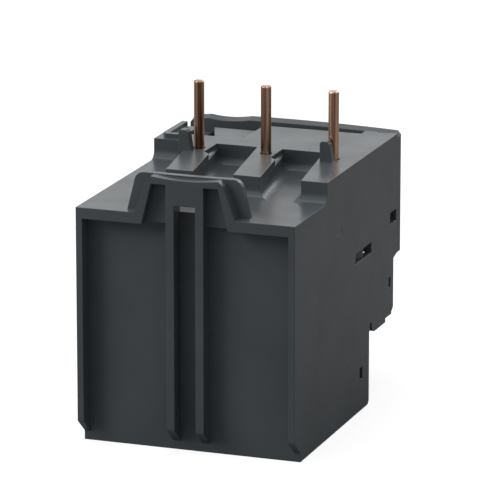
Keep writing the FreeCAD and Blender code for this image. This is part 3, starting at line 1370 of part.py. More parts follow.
def window_cover():
    """Clear hinged cover: front plate, three skirts, knuckle and holes over the buttons."""
    plate_rear_face = depth - window_wall
    skirt = deep(fascia_front + clear, plate_rear_face + fit)
    left = hinge_x + 1.8
    low = window_low + lug_high + 0.5
    high = window_high - lug_high - 0.5
    whole = fuse("window_whole", [
        box("window_plate", span(0, window_side), deep(plate_rear_face, depth), (window_low, window_high)),
        box("skirt_high", (left, window_side), skirt, (window_high - window_wall, window_high)),
        box("skirt_low", (left, window_side), skirt, (window_low, window_low + window_wall)),
        box("skirt_end", (window_side - window_wall, window_side), skirt, (window_low, window_high)),
        rod("window_knuckle", "z", (hinge_x, rear - hinge_depth), (low, high), knuckle),
        box("window_web", span(hinge_x, 0.8), deep(hinge_depth, plate_rear_face + fit), (low, high)),
    ])
    tools = [
        rod("knuckle_bore", "z", (hinge_x, rear - hinge_depth), (low - wall, high + wall),
            hinge_pin + running),
        rod("stop_opening", "y", (stop_x, stop_z), deep(plate_rear_face - wall, depth + wall),
            stop_radius + 0.8),
        rod("reset_opening", "y", (reset_x, reset_z), deep(plate_rear_face - wall, depth + wall),
            reset_radius + 0.9),
    ]
    node(cut("window_cover", whole, tools), "window_cover")
    pin = rod("window_hinge_pin", "z", (hinge_x, rear - hinge_depth),
              (window_low + 0.2, window_high - 0.2), hinge_pin)
    node(pin, "window_hinge_pin")


def check(thing):
    """Stop on any object that failed, and on any piece without a sound solid."""
    for item in doc.Objects:
        if "Invalid" in item.State or "Error" in item.State:
            raise RuntimeError(f"{item.Name}: {item.State}")
    if thing.Shape.isNull() or not thing.Shape.isValid() or not thing.Shape.Solids:
        raise RuntimeError(f"{thing.Label} has no sound solid")


rear_housing()
power_terminal_block()
aux_terminal_block()
front_fascia()
mechanism_plate()
bimetal_carrier()
slide_rail_frame()
slide("main_slide", rail_top + clear, True)
slide("differential_slide", rail_top + 2 * clear + slide_thick, False)
for number in range(3):
    contact_pin(number)
    pole(number)
    power_terminal(number)
for number in range(4):
    aux_terminal(number)
trip_lever()
setting_lever()
setting_dial()
setting_cam()
contact_carrier()
contact_bridges()
trip_flag()
springs()
stop_button()
reset_parts()
test_slider()
window_cover()

doc.recompute()
os.makedirs("parts", exist_ok=True)
for piece in nodes:
    check(piece)
for piece in nodes:
    piece.Shape.exportStep(f"parts/{piece.Label}.step")
print(len(nodes), "pieces")
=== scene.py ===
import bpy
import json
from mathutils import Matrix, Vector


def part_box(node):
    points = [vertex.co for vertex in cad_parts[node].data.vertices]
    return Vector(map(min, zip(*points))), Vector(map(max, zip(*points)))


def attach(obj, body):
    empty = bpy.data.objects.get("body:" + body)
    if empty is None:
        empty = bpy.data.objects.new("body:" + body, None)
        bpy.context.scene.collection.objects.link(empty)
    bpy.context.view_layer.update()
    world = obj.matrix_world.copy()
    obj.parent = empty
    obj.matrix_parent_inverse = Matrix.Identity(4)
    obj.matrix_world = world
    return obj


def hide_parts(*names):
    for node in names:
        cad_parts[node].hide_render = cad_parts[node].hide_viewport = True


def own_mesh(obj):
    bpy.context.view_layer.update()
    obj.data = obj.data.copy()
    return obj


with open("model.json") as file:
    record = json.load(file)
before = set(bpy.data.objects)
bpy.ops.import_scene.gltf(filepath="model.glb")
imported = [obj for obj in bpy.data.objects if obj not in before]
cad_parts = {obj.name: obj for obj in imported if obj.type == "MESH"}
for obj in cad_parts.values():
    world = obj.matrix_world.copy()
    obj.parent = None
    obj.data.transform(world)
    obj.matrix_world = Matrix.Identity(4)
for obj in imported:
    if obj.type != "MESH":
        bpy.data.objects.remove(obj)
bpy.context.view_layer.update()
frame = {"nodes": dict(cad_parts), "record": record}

import json
import math

import bpy
import numpy as np
from mathutils import Matrix, Vector

MM = 0.001
QUARTER = math.pi / 2
TURN = 2 * math.pi

# The photograph's camera, solved from the relay's edges
CAMERA_PLACE = (-0.2933, 0.8089, 0.2614)
CAMERA_RIGHT = (-0.9404, -0.3401, 0.0)
CAMERA_AHEAD = (0.3287, -0.9089, -0.2569)
SENSOR_WIDTH = 36
FOCAL_LENGTH = 320.64
CLIP = (0.01, 20)

# Soft square lamps by name, place, side and power, and the brightness of what surrounds the relay
LAMP_TARGET = (0, 0, 0.03)
LAMPS = (
    ("overhead_lamp", (0.1, 0.1, 1.3), 1.0, 9),
    ("left_lamp", (1.0, 0.9, 0.8), 0.7, 14),
    ("right_lamp", (-1.1, 0.2, 0.7), 0.7, 0.2),
    ("front_lamp", (-0.3, -1.2, 0.8), 0.8, 5),
)
FILL_LIGHT = 0.58
WHITE_LIGHT = 1.25
FLOOR_RADIUS = 6
FLOOR_SIDES = 96
FLOOR_SHADE = 0.25
FLOOR_GLOW = 0.8

# Kinds of terminal: name, count, radius of the driver hole, the screw's shank radius, its head's
# height and its pitch
TERMINALS = (
    ("power", 3, 3.15 * MM, 1.75 * MM, 1.85 * MM, 0.7 * MM),
    ("aux", 4, 2.95 * MM, 1.5 * MM, 1.7 * MM, 0.5 * MM),
)

# Springs that shorten: name, joint, axis, fixed end and the joint's travel
SPRINGS = (
    ("stop_spring", "stop_press", (0, 1, 0), (0, -24 * MM, 0), 1.4 * MM),
    ("reset_spring", "reset_press", (0, 1, 0), (0, -24 * MM, 0), 1.4 * MM),
    ("carrier_spring", "carrier_lift", (0, 0, 1), (0, 0, 48.5 * MM), 1.591 * MM),
)

# Width over which a recess drops to its floor, and a pole's ring as a share of its face
WELL_EDGE = 0.12 * MM
POLE_SHARE = 0.004


# Camera, floor and studio light

def place_in_scene(name, data):
    """Object for the data, linked to the scene."""
    thing = bpy.data.objects.new(name, data)
    bpy.context.scene.collection.objects.link(thing)
    return thing


def aim_camera():
    """Camera at the photograph's place: behind the relay, to one side and a little above it."""
    data = bpy.data.cameras.new("photo_camera")
    data.sensor_width = SENSOR_WIDTH
    data.lens = FOCAL_LENGTH
    data.clip_start, data.clip_end = CLIP
    camera = place_in_scene("photo_camera", data)
    right = Vector(CAMERA_RIGHT).normalized()
    ahead = Vector(CAMERA_AHEAD).normalized()
    up = right.cross(ahead)
    turn = Matrix((right, up, -ahead)).transposed()
    camera.matrix_world = Matrix.Translation(Vector(CAMERA_PLACE)) @ turn.to_4x4()
    bpy.context.scene.camera = camera


def hang_lamp(name, place, side, power):
    """Square soft lamp that faces the relay."""
    data = bpy.data.lights.new(name, "AREA")
    data.shape = "SQUARE"
    data.size = side
    data.energy = power
    thing = place_in_scene(name, data)
    way = Vector(LAMP_TARGET) - Vector(place)
    thing.location = place
    thing.rotation_euler = way.to_track_quat("-Z", "Y").to_euler()


def larger(tree, first, second):
    """Larger of two values."""
    node = tree.nodes.new("ShaderNodeMath")
    node.operation = "MAXIMUM"
    tree.links.new(first, node.inputs[0])
    tree.links.new(second, node.inputs[1])
    return node.outputs[0]


def grey_background(tree, strength):
    """Even surroundings of a strength."""
    node = tree.nodes.new("ShaderNodeBackground")
    node.inputs["Color"].default_value = (1, 1, 1, 1)
    node.inputs["Strength"].default_value = strength
    return node.outputs[0]


def light_studio():
    """White surroundings for the eye and for reflections, a plain grey fill, and soft lamps."""
    world = bpy.data.worlds.new("studio")
    bpy.context.scene.world = world
    world.use_nodes = True
    tree = world.node_tree
    tree.nodes.clear()
    path = tree.nodes.new("ShaderNodeLightPath").outputs
    mirrored = larger(tree, path["Is Glossy Ray"], path["Is Transmission Ray"])
    mix = tree.nodes.new("ShaderNodeMixShader")
    tree.links.new(larger(tree, path["Is Camera Ray"], mirrored), mix.inputs["Fac"])
    tree.links.new(grey_background(tree, FILL_LIGHT), mix.inputs[1])
    tree.links.new(grey_background(tree, WHITE_LIGHT), mix.inputs[2])
    out = tree.nodes.new("ShaderNodeOutputWorld")
    tree.links.new(mix.outputs[0], out.inputs["Surface"])
    for name, place, side, power in LAMPS:
        hang_lamp(name, place, side, power)
    bpy.context.scene.view_settings.view_transform = "Standard"


def lay_floor():
    """Pale round floor that keeps the relay's shadow."""
    turns = np.linspace(0, TURN, FLOOR_SIDES, endpoint=False)
    ring = np.stack([np.cos(turns), np.sin(turns), np.zeros(FLOOR_SIDES)], axis=1) * FLOOR_RADIUS
    mesh = bpy.data.meshes.new("floor")
    mesh.from_pydata(ring.tolist(), [], [list(range(FLOOR_SIDES))])
    floor = place_in_scene("floor", mesh)
    paint = bpy.data.materials.new("floor_white")
    paint.use_nodes = True
    tree = paint.node_tree
    tree.nodes.clear()
    out = tree.nodes.new("ShaderNodeOutputMaterial")
    matt = tree.nodes.new("ShaderNodeBsdfDiffuse")
    matt.inputs["Color"].default_value = (FLOOR_SHADE, FLOOR_SHADE, FLOOR_SHADE, 1)
    pick = tree.nodes.new("ShaderNodeMixShader")
    path = tree.nodes.new("ShaderNodeLightPath")
    tree.links.new(path.outputs["Is Camera Ray"], pick.inputs["Fac"])
    for socket, strength in ((1, 0.0), (2, FLOOR_GLOW)):
        glow = tree.nodes.new("ShaderNodeEmission")
        glow.inputs["Strength"].default_value = strength
        tree.links.new(glow.outputs[0], pick.inputs[socket])
    both = tree.nodes.new("ShaderNodeAddShader")
    tree.links.new(matt.outputs[0], both.inputs[0])
    tree.links.new(pick.outputs[0], both.inputs[1])
    tree.links.new(both.outputs[0], out.inputs["Surface"])
    mesh.materials.append(paint)


# Finishes

def new_finish(name):
    """Empty material with its shader, and the relay's own coordinates."""
    paint = bpy.data.materials.new(name)
    paint.use_nodes = True
    tree = paint.node_tree
    shader = tree.nodes["Principled BSDF"]
    where = tree.nodes.new("ShaderNodeTexCoord").outputs["Object"]
    return paint, tree, shader, where


def noise(tree, where, scale, detail=2.0, stretch=(1, 1, 1)):
    """Fine random pattern, stretched along an axis where wanted."""
    if stretch != (1, 1, 1):
        grid = tree.nodes.new("ShaderNodeMapping")
        grid.inputs["Scale"].default_value = stretch
        tree.links.new(where, grid.inputs["Vector"])
        where = grid.outputs["Vector"]
    pattern = tree.nodes.new("ShaderNodeTexNoise")
    pattern.inputs["Scale"].default_value = scale
    pattern.inputs["Detail"].default_value = detail
    tree.links.new(where, pattern.inputs["Vector"])
    return pattern.outputs["Fac"]


def spread(tree, value, low, high):
    """Pattern's middle values brought to a range."""
    move = tree.nodes.new("ShaderNodeMapRange")
    move.inputs["From Min"].default_value = 0.3
    move.inputs["From Max"].default_value = 0.7
    move.inputs["To Min"].default_value = low
    move.inputs["To Max"].default_value = high
    tree.links.new(value, move.inputs["Value"])
    return move.outputs["Result"]


def tint(tree, value, first, second):
    """Colour between two shades by a pattern's middle values."""
    ramp = tree.nodes.new("ShaderNodeValToRGB")
    for stop, place, shade in zip(ramp.color_ramp.elements, (0.35, 0.65), (first, second)):
        stop.position = place
        stop.color = (*shade, 1)
    tree.links.new(value, ramp.inputs["Fac"])
    return ramp.outputs["Color"]


def scaled(colour, factors):
    """Colour times a factor for each channel."""
    return tuple(min(1, channel * factor) for channel, factor in zip(colour, factors))


def relief(tree, shader, height, depth, edge):
    """Surface relief on edges that look rounded by the given radius."""
    bump = tree.nodes.new("ShaderNodeBump")
    bump.inputs["Strength"].default_value = 1.0
    bump.inputs["Distance"].default_value = depth
    tree.links.new(height, bump.inputs["Height"])
    if edge:
        soft = tree.nodes.new("ShaderNodeBevel")
        soft.samples = 6
        soft.inputs["Radius"].default_value = edge
        tree.links.new(soft.outputs["Normal"], bump.inputs["Normal"])
    tree.links.new(bump.outputs["Normal"], shader.inputs["Normal"])


def moulded(name, colour, rough=0.3, grain=0.0015 * MM, edge=0.2 * MM, gloss=0.5):
    """Injection-moulded plastic: slight flow shading, fine grain and softly rounded edges."""
    flow_scale, cloud_scale, grain_scale = 70, 160, 3600
    paint, tree, shader, where = new_finish(name)
    shader.inputs["Specular IOR Level"].default_value = gloss
    flow = noise(tree, where, flow_scale)
    dark = scaled(colour, [0.94] * 3)
    light = scaled(colour, [1.06] * 3)
    tree.links.new(tint(tree, flow, dark, light), shader.inputs["Base Color"])
    fine = noise(tree, where, grain_scale, 1.0)
    cloud = noise(tree, where, cloud_scale)
    tree.links.new(spread(tree, cloud, rough - 0.03, rough + 0.04), shader.inputs["Roughness"])
    relief(tree, shader, fine, grain, edge)
    return paint


def drawn_metal(name, colour, rough, along, edge=0.1 * MM):
    """Bright metal with fine streaks along the way it was drawn or rolled."""
    streak_scale, streak_stretch, streak_deep = 4200, 0.04, 0.004 * MM
    paint, tree, shader, where = new_finish(name)
    shader.inputs["Metallic"].default_value = 1.0
    stretch = tuple(streak_stretch if axis == along else 1.0 for axis in "xyz")
    streak = noise(tree, where, streak_scale, 3.0, stretch)
    dark = scaled(colour, [0.86] * 3)
    light = scaled(colour, [1.08] * 3)
    tree.links.new(tint(tree, streak, dark, light), shader.inputs["Base Color"])
    tree.links.new(spread(tree, streak, rough - 0.06, rough + 0.08), shader.inputs["Roughness"])
    relief(tree, shader, streak, streak_deep, edge)
    return paint


def drawn_copper(name):
    """Copper rod, drawn and tarnished: broad lengthwise streaks from dark brownish to light
    copper, partly tarnish and partly painted reflection, with fine draw lines over them."""
    tarnish_and_reflection_scale, line_scale = 1150, 6500
    tarnish_and_reflection_stretch, line_stretch = 0.012, 0.008
    tarnish_and_dark_reflection, copper_and_painted_highlight = (0.075, 0.036, 0.02), (0.74, 0.445, 0.3)
    paint, tree, shader, where = new_finish(name)
    shader.inputs["Metallic"].default_value = 1.0
    # Broad lengthwise streaks, partly tarnish and partly painted reflection: dark streaks are
    # painted shade, light ones painted highlight
    tarnish_and_reflection_band = noise(tree, where, tarnish_and_reflection_scale, 1.0, (1, 1, tarnish_and_reflection_stretch))
    fine = noise(tree, where, line_scale, 2.0, (1, 1, line_stretch))
    blend = tree.nodes.new("ShaderNodeMix")
    blend.data_type = "RGBA"
    blend.blend_type = "MULTIPLY"
    blend.inputs["Factor"].default_value = 1.0
    first, second = [socket for socket in blend.inputs if socket.type == "RGBA"]
    result = [socket for socket in blend.outputs if socket.type == "RGBA"][0]
    tree.links.new(tint(tree, tarnish_and_reflection_band, tarnish_and_dark_reflection, copper_and_painted_highlight), first)
    tree.links.new(tint(tree, fine, (0.72, 0.72, 0.72), (1, 1, 1)), second)
    tree.links.new(result, shader.inputs["Base Color"])
    tree.links.new(spread(tree, tarnish_and_reflection_band, 0.34, 0.2), shader.inputs["Roughness"])
    relief(tree, shader, tarnish_and_reflection_band, 0.002 * MM, 0.12 * MM)
    return paint


def plated(name, colour, rough=0.3):
    """Zinc plating: cloudy passivation tint over a fine crystalline relief."""
    cloud_scale, crystal_scale = 500, 9000
    paint, tree, shader, where = new_finish(name)
    shader.inputs["Metallic"].default_value = 1.0
    cloud = noise(tree, where, cloud_scale, 4.0)
    warm = scaled(colour, (1.06, 1.0, 0.92))
    cool = scaled(colour, (0.9, 0.94, 1.02))
    tree.links.new(tint(tree, cloud, warm, cool), shader.inputs["Base Color"])
    tree.links.new(spread(tree, cloud, rough - 0.05, rough + 0.1), shader.inputs["Roughness"])
    relief(tree, shader, noise(tree, where, crystal_scale), 0.004 * MM, 0.12 * MM)
    return paint


def woven_sleeve(name):
    """Glass-fibre braid: two crossing sets of fine waves around the sleeve, coloured darker in
    the grooves between the waves as painted shade.
    """
    lean, wave_scale = 0.7, 900
    paint, tree, shader, where = new_finish(name)
    heights = []
    for angle in (lean, -lean):
        turn = tree.nodes.new("ShaderNodeMapping")
        turn.inputs["Rotation"].default_value = (angle, 0, angle)
        tree.links.new(where, turn.inputs["Vector"])
        wave = tree.nodes.new("ShaderNodeTexWave")
        wave.inputs["Scale"].default_value = wave_scale
        wave.inputs["Distortion"].default_value = 1.5
        tree.links.new(turn.outputs["Vector"], wave.inputs["Vector"])
        heights.append(wave.outputs["Fac"])
    braid = larger(tree, *heights)
    # Colour follows the braid's height: darker in its grooves, painted shade, and lighter on its
    # crests
    shades = tint(tree, braid, (0.5, 0.46, 0.36), (0.82, 0.79, 0.7))
    tree.links.new(shades, shader.inputs["Base Color"])
    shader.inputs["Roughness"].default_value = 0.8
    relief(tree, shader, braid, 0.08 * MM, 0)
    return paint


def clear_moulding(name):
    """Clear polycarbonate with faint flow marks."""
    haze_scale = 260
    paint, tree, shader, where = new_finish(name)
    shader.inputs["Transmission Weight"].default_value = 1.0
    shader.inputs["IOR"].default_value = 1.3
    shader.inputs["Alpha"].default_value = 0.34
    haze = noise(tree, where, haze_scale, 3.0)
    shades = tint(tree, haze, (0.93, 0.95, 0.95), (0.98, 0.99, 0.99))
    tree.links.new(shades, shader.inputs["Base Color"])
    tree.links.new(spread(tree, haze, 0.015, 0.04), shader.inputs["Roughness"])
    relief(tree, shader, haze, 0.003 * MM, 0.2 * MM)
    return paint


def make_finishes():
    """Every finish by name: one for each material slot, and two for print."""
    return {
        "shell_plastic": moulded("shell_plastic", (0.046, 0.054, 0.060), gloss=0.16),
        "terminal_plastic": moulded(
            "terminal_plastic", (0.042, 0.050, 0.056), 0.36, 0.003 * MM, gloss=0.16),
        "fascia_plastic": moulded("fascia_plastic", (0.046, 0.053, 0.059), 0.34, gloss=0.18),
        "inner_plastic": moulded("inner_plastic", (0.028, 0.032, 0.035), 0.42, gloss=0.16),
        "slide_plastic": moulded("slide_plastic", (0.6, 0.57, 0.48), 0.4),
        "lever_plastic": moulded("lever_plastic", (0.52, 0.49, 0.4), 0.42),
        "copper": drawn_copper("copper"),
        "tinned_copper": drawn_metal("tinned_copper", (0.72, 0.66, 0.6), 0.3, "z"),
        "contact_brass": drawn_metal("contact_brass", (0.82, 0.62, 0.32), 0.28, "z"),
        "bimetal": drawn_metal("bimetal", (0.56, 0.52, 0.47), 0.34, "z"),
        "heater_alloy": drawn_metal("heater_alloy", (0.38, 0.35, 0.32), 0.4, "x", 0),
        "sleeve": woven_sleeve("sleeve"),
        "zinc_steel": plated("zinc_steel", (0.72, 0.72, 0.7)),
        "pressed_steel": drawn_metal("pressed_steel", (0.6, 0.6, 0.61), 0.3, "z"),
        "spring_steel": drawn_metal("spring_steel", (0.5, 0.5, 0.52), 0.28, "x", 0),
        "dial_plastic": moulded("dial_plastic", (0.62, 0.62, 0.59), 0.4),
        "flag_plastic": moulded("flag_plastic", (0.8, 0.34, 0.03), 0.35),
        "stop_plastic": moulded("stop_plastic", (0.5, 0.014, 0.012), 0.28),
        "plunger_plastic": moulded("plunger_plastic", (0.7, 0.7, 0.67), 0.4),
        "reset_plastic": moulded("reset_plastic", (0.02, 0.075, 0.33), 0.28),
        "test_plastic": moulded("test_plastic", (0.7, 0.7, 0.67), 0.38),
        "clear_window": clear_moulding("clear_window"),
        "print": moulded("print", (0.72, 0.73, 0.73), 0.5, 0.002 * MM, 0),
        "dial_print": moulded("dial_print", (0.03, 0.03, 0.032), 0.5, 0.002 * MM, 0),
    }


# Surfaces

def skin(name, points, faces, finish, body, smooth=40):
    """Piece from arrays of points and lists of faces, smooth up to an angle between faces."""
    mesh = bpy.data.meshes.new(name)
    mesh.from_pydata(points.reshape(-1, 3).tolist(), [], faces)
    mesh.materials.append(finish)
    mesh.validate()
    mesh.polygons.foreach_set("use_smooth", np.ones(len(mesh.polygons), bool))
    mesh.set_sharp_from_angle(angle=math.radians(smooth))
    thing = place_in_scene(name, mesh)
    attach(thing, body)
    return thing


def ring_faces(rows, columns, closed=False):
    """Quads between neighbouring rings of columns points, and from the last ring to the first
    where the grid is closed that way too."""
    row, column = np.meshgrid(np.arange(rows if closed else rows - 1), np.arange(columns),
                              indexing="ij")
    after = (column + 1) % columns
    here = row * columns
    there = (row + 1) % rows * columns
    quads = np.stack([here + column, here + after, there + after, there + column], axis=-1)
    return quads.reshape(-1, 4).tolist()


def spun(centre, depths, radii, columns=96, sink=None):
    """Closed surface turned about Y. Ring i lies at depths[i] forward of the centre, with
    radii[i], which may vary around the ring, and a fan of triangles closes each pole.
    sink(x, z) lowers the front face."""
    sink_reach = 1.2 * MM
    depths = np.asarray(depths)
    rows = len(depths)
    radii = np.broadcast_to(np.asarray(radii).reshape(rows, -1), (rows, columns))
    angle = np.linspace(0, TURN, columns, endpoint=False)
    x = radii * np.cos(angle)
    z = radii * np.sin(angle)
    y = -np.repeat(depths[:, None], columns, axis=1)
    if sink is not None:
        front = (y <= y.min() + sink_reach) & (np.arange(rows) >= rows // 2)[:, None]
        y = np.where(front, y + sink(x, z), y)
    points = np.stack([x + centre[0], y + centre[1], z + centre[2]], axis=-1)
    poles = points[[0, -1]].mean(axis=1)
    column = np.arange(columns)
    after = (column + 1) % columns
    rear_pole, front_pole = rows * columns, rows * columns + 1
    last = rear_pole - columns
    rear = np.stack([np.full(columns, rear_pole), after, column], axis=-1)
    front = np.stack([np.full(columns, front_pole), last + column, last + after], axis=-1)
    faces = ring_faces(rows, columns) + rear.tolist() + front.tolist()
    return np.concatenate([points.reshape(-1, 3), poles]), faces


def turned_place(node):
    """Rear end of a turned node's axis, its length forward of there, and its radius."""
    low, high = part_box(node)
    rear_end = ((low.x + high.x) / 2, high.y, (low.z + high.z) / 2)
    return rear_end, high.y - low.y, (high.x - low.x) / 2


def soft_step(value):
    """Smooth rise from 0 to 1: t^2 (3 - 2 t)."""
    t = np.clip(value, 0, 1)
    return t * t * (3 - 2 * t)


def within(place, half):
    """1 inside a half width of the axis and 0 outside, with a short slope between."""
    return soft_step((half - np.abs(place)) / WELL_EDGE + 0.5)


def cross_well(half_length, half_width, depth):
    """Depth of a cross-shaped recess as a function of place."""
    def well(x, z):
        across = within(x, half_length) * within(z, half_width)
        upright = within(z, half_length) * within(x, half_width)
        return depth * np.maximum(across, upright)
    return well


def slot_well(half_length, half_width, depth):
    """Depth of a straight driver slot as a function of place."""
    def well(x, z):
        return depth * within(x, half_length) * within(z, half_width)
    return well


def threaded_screw(node, shank, head, pitch, finish):
    """Pan head screw. The shank's radius at height s and angle a is its outer radius less the
    thread depth times a triangle wave of s over the pitch less a over a full turn; the head is
    a turned pan with a cross recess sunk in its face."""
    columns, rings_per_pitch = 72, 9
    thread_deep, point_deep, point_long = 0.26 * MM, 0.28 * MM, 0.45 * MM
    neck_long, neck_deep = 0.02 * MM, 0.2 * MM
    under_share, under_high = 0.9, 0.15 * MM
    dome, crown, crown_curve = 0.55 * MM, 0.25 * MM, 0.55
    cross_share, cross_half, cross_deep = 0.66, 0.42 * MM, 1.1 * MM
    centre, length, radius = turned_place(node)
    seat = length - head
    shoulder = length - crown
    face_radius = radius - dome * 0.8
    angle = np.linspace(0, 1, columns, endpoint=False)
    run = np.arange(0, seat, pitch / rings_per_pitch)
    phase = (run[:, None] / pitch - angle[None, :]) % 1.0
    groove = np.abs(phase - 0.5) * 2
    grown = np.clip(run / point_long, 0, 1)[:, None]
    thread = shank - point_deep * (1 - grown) - thread_deep * groove * grown
    bend = np.linspace(0, QUARTER, 8)
    face = np.linspace(1, POLE_SHARE, 30)
    rise = np.sqrt(1 - (face * crown_curve) ** 2)
    rise = (rise - rise[0]) / (1 - rise[0]) * crown
    depths = np.concatenate([
        [0.0], run, [seat - neck_long, seat, seat], seat + under_high * (1 - np.cos(bend)),
        shoulder - dome * (1 - np.sin(bend)), shoulder + rise])
    turned = np.concatenate([
        [shank - neck_deep] * 2, [radius * under_share],
        radius * (under_share + (1 - under_share) * np.sin(bend)),
        radius - (radius - face_radius) * (1 - np.cos(bend)), face_radius * face])
    rings = np.concatenate([
        np.full((1, columns), shank * POLE_SHARE), thread,
        np.repeat(turned[:, None], columns, axis=1)])
    well = cross_well(radius * cross_share, cross_half, cross_deep)
    points, faces = spun(centre, depths, rings, columns, well)
    piece = skin(node + "_threaded", points, faces, finish, node, 50)
    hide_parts(node)


def knurled_dial(finish):
    """Setting dial. Its radius around the rim is the head's radius less a small cosine of the
    angle times the number of ridges. The shaft ends in a square, and the face has a slot."""
    columns, ridges = 240, 40
    square_half, square_long, shaft = 1.4 * MM, 1.9 * MM, 2.5 * MM
    head_high, flange_high, fillet = 2.8 * MM, 1.1 * MM, 0.2 * MM
    flange_in, flange_drop = 0.6 * MM, 0.15 * MM
    rim_in, rim_low, rim_high = 0.9 * MM, 1.3 * MM, 1.1 * MM
    ridge_deep, draft, nose, crown = 0.22 * MM, 0.25 * MM, 0.35 * MM, 5.0 * MM
    slot_long, slot_half, slot_deep = 3.15 * MM, 0.6 * MM, 1.3 * MM
    centre, length, head = turned_place("setting_dial")
    shelf = length - head_high
    angle = np.linspace(0, TURN, columns, endpoint=False)
    square = square_half / np.maximum(np.abs(np.cos(angle)), np.abs(np.sin(angle)))
    round_ring = np.ones(columns)
    ridge = 0.5 - 0.5 * np.cos(ridges * angle)
    bend = np.linspace(0, QUARTER, 7)
    depths = [0, 0, square_long, square_long, shelf, shelf]
    rings = [square * POLE_SHARE, square, square]
    rings += [round_ring * radius for radius in (shaft, shaft, head - fillet)]
    depths += list(shelf + fillet * (1 - np.cos(bend)))
    rings += [round_ring * (head - fillet * (1 - math.sin(b))) for b in bend]
    depths += [shelf + 1.5 * fillet, shelf + flange_high]
    rings += [round_ring * head] * 2
    depths += list(shelf + flange_high + flange_drop * np.sin(bend))
    rings += [round_ring * (head - flange_in * (1 - math.cos(b))) for b in bend]
    for share in np.linspace(0, 1, 8):
        depths.append(shelf + rim_low + share * rim_high)
        rings.append(head - rim_in - ridge_deep * ridge * min(1, 6 * share) - share * draft)
    depths += list(length - nose * (1 - np.sin(bend)))
    rim = rings[-1]
    rings += [rim - (rim - crown) * (1 - math.cos(b)) for b in bend]
    for share in np.linspace(0.985, POLE_SHARE, 34):
        depths.append(length)
        rings.append(round_ring * crown * share)
    well = slot_well(slot_long, slot_half, slot_deep)
    points, faces = spun(centre, depths, np.array(rings), columns, well)
    piece = skin("setting_dial_knurled", points, faces, finish, "setting_dial", 35)
    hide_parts("setting_dial")
    return centre, centre[1] - length


def numeral(text, centre, angle, front, finish):
    """One number of the scale, as a thin print on the dial's face, its foot towards the axis."""
    size, radius, thick, gap = 1.15 * MM, 3.75 * MM, 0.01 * MM, 0.012 * MM
    curve = bpy.data.curves.new("scale_number", "FONT")
    curve.body = text
    curve.size = size
    curve.align_x = "CENTER"
    curve.align_y = "CENTER"
    curve.extrude = thick
    letter = place_in_scene("scale_number", curve)
    bpy.context.view_layer.update()
    shape = letter.evaluated_get(bpy.context.evaluated_depsgraph_get())
    mesh = bpy.data.meshes.new_from_object(shape)
    bpy.data.objects.remove(letter)
    place = Matrix.Translation(Vector((centre[0], front - gap, centre[2])))
    lean = Matrix.Rotation(angle, 4, "Y")
    outward = Matrix.Translation(Vector((0, 0, radius)))
    upright = Matrix.Rotation(QUARTER, 4, "X")
    mesh.transform(place @ lean @ outward @ upright)
    mesh.materials.clear()
    mesh.materials.append(finish)
    piece = place_in_scene("scale_number_" + text.replace(".", "_"), mesh)
    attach(piece, "setting_dial")


def slabs(boxes):
    """Points and faces of thin blocks. Each block is a centre, two half vectors across and a
    half vector outwards."""
    corners = np.array([(a, b, c) for a in (-1, 1) for b in (-1, 1) for c in (-1, 1)], float)
    quads = np.array([(0, 1, 3, 2), (4, 6, 7, 5), (0, 4, 5, 1),
                      (2, 3, 7, 6), (0, 2, 6, 4), (1, 5, 7, 3)])
    points = []
    faces = []
    for number, (centre, *halves) in enumerate(boxes):
        halves = np.array(halves, float)
        if np.linalg.det(halves) < 0:
            halves[0] = -halves[0]
        points.append(np.asarray(centre) + corners @ halves)
        faces.append(quads + len(corners) * number)
    return np.concatenate(points), np.concatenate(faces).tolist()


def dial_scale(centre, front, print_dark, print_light):
    """Scale lines at even angles around the dial's face, its numbers, and a fixed pointer."""
    first, step, count, steps_per_number = -120, 20, 13, 4
    line_end, line_wide, line_thick = 4.75 * MM, 0.06 * MM, 0.012 * MM
    long_half, short_half = 0.3 * MM, 0.18 * MM
    marks = []
    for number in range(count):
        angle = math.radians(first + step * number)
        half = short_half if number % steps_per_number else long_half
        way = np.array([math.sin(angle), 0, math.cos(angle)])
        side = np.array([math.cos(angle), 0, -math.sin(angle)])
        spot = np.array([centre[0], front, centre[2]]) + way * (line_end - half)
        marks.append((spot, side * line_wide, way * half, (0, -line_thick, 0)))
    points, faces = slabs(marks)
    skin("scale_lines", points, faces, print_dark, "setting_dial")
    for number, text in enumerate(("1", "1.2", "1.4", "1.6")):
        angle = math.radians(first + step * steps_per_number * number)
        numeral(text, centre, angle, front, print_dark)
    pointer_back, pointer_foot = 3.1 * MM, 6.7 * MM
    pointer_half, pointer_high, pointer_thick = 0.75 * MM, 1.2 * MM, 0.02 * MM
    tip = np.array([centre[0], front + pointer_back, centre[2] + pointer_foot])
    wedge = tip + np.array([(0, 0, 0), (pointer_half, 0, pointer_high),
                            (-pointer_half, 0, pointer_high)])
    points = np.concatenate([wedge, wedge - [0, pointer_thick, 0]])
    mesh = bpy.data.meshes.new("scale_pointer")
    mesh.from_pydata(points.tolist(), [], [(0, 1, 4, 3), (1, 2, 5, 4), (2, 0, 3, 5),
                                           (3, 4, 5), (2, 1, 0)])
    mesh.materials.append(print_light)
    piece = place_in_scene("scale_pointer", mesh)
    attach(piece, "relay")


def stop_cap(finish):
    """Stop button. Its face is a shallow dish: depth falls with the square of the radius."""
    nose_long, nose_in, dish = 0.5 * MM, 0.55 * MM, 0.42 * MM
    centre, length, radius = turned_place("stop_button")
    bend = np.linspace(0, QUARTER, 9)
    face = np.linspace(1, POLE_SHARE, 20)
    stem_depths = np.array([0, 0, 0.6, 1.9, 1.9, 6.2, 6.2, 6.35]) * MM
    stem_radii = np.array([0.005, 0.9, 1.7, 1.7, 1.2, 1.2]) * MM
    depths = np.concatenate([
        stem_depths, length - nose_long * (1 - np.sin(bend)), length - dish * (1 - face ** 2)])
    radii = np.concatenate([
        stem_radii, [radius - 0.15 * MM, radius], radius - nose_in * (1 - np.cos(bend)),
        (radius - nose_in) * face])
    points, faces = spun(centre, depths, radii)
    piece = skin("stop_button_dished", points, faces, finish, "stop_button")
    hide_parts("stop_button")


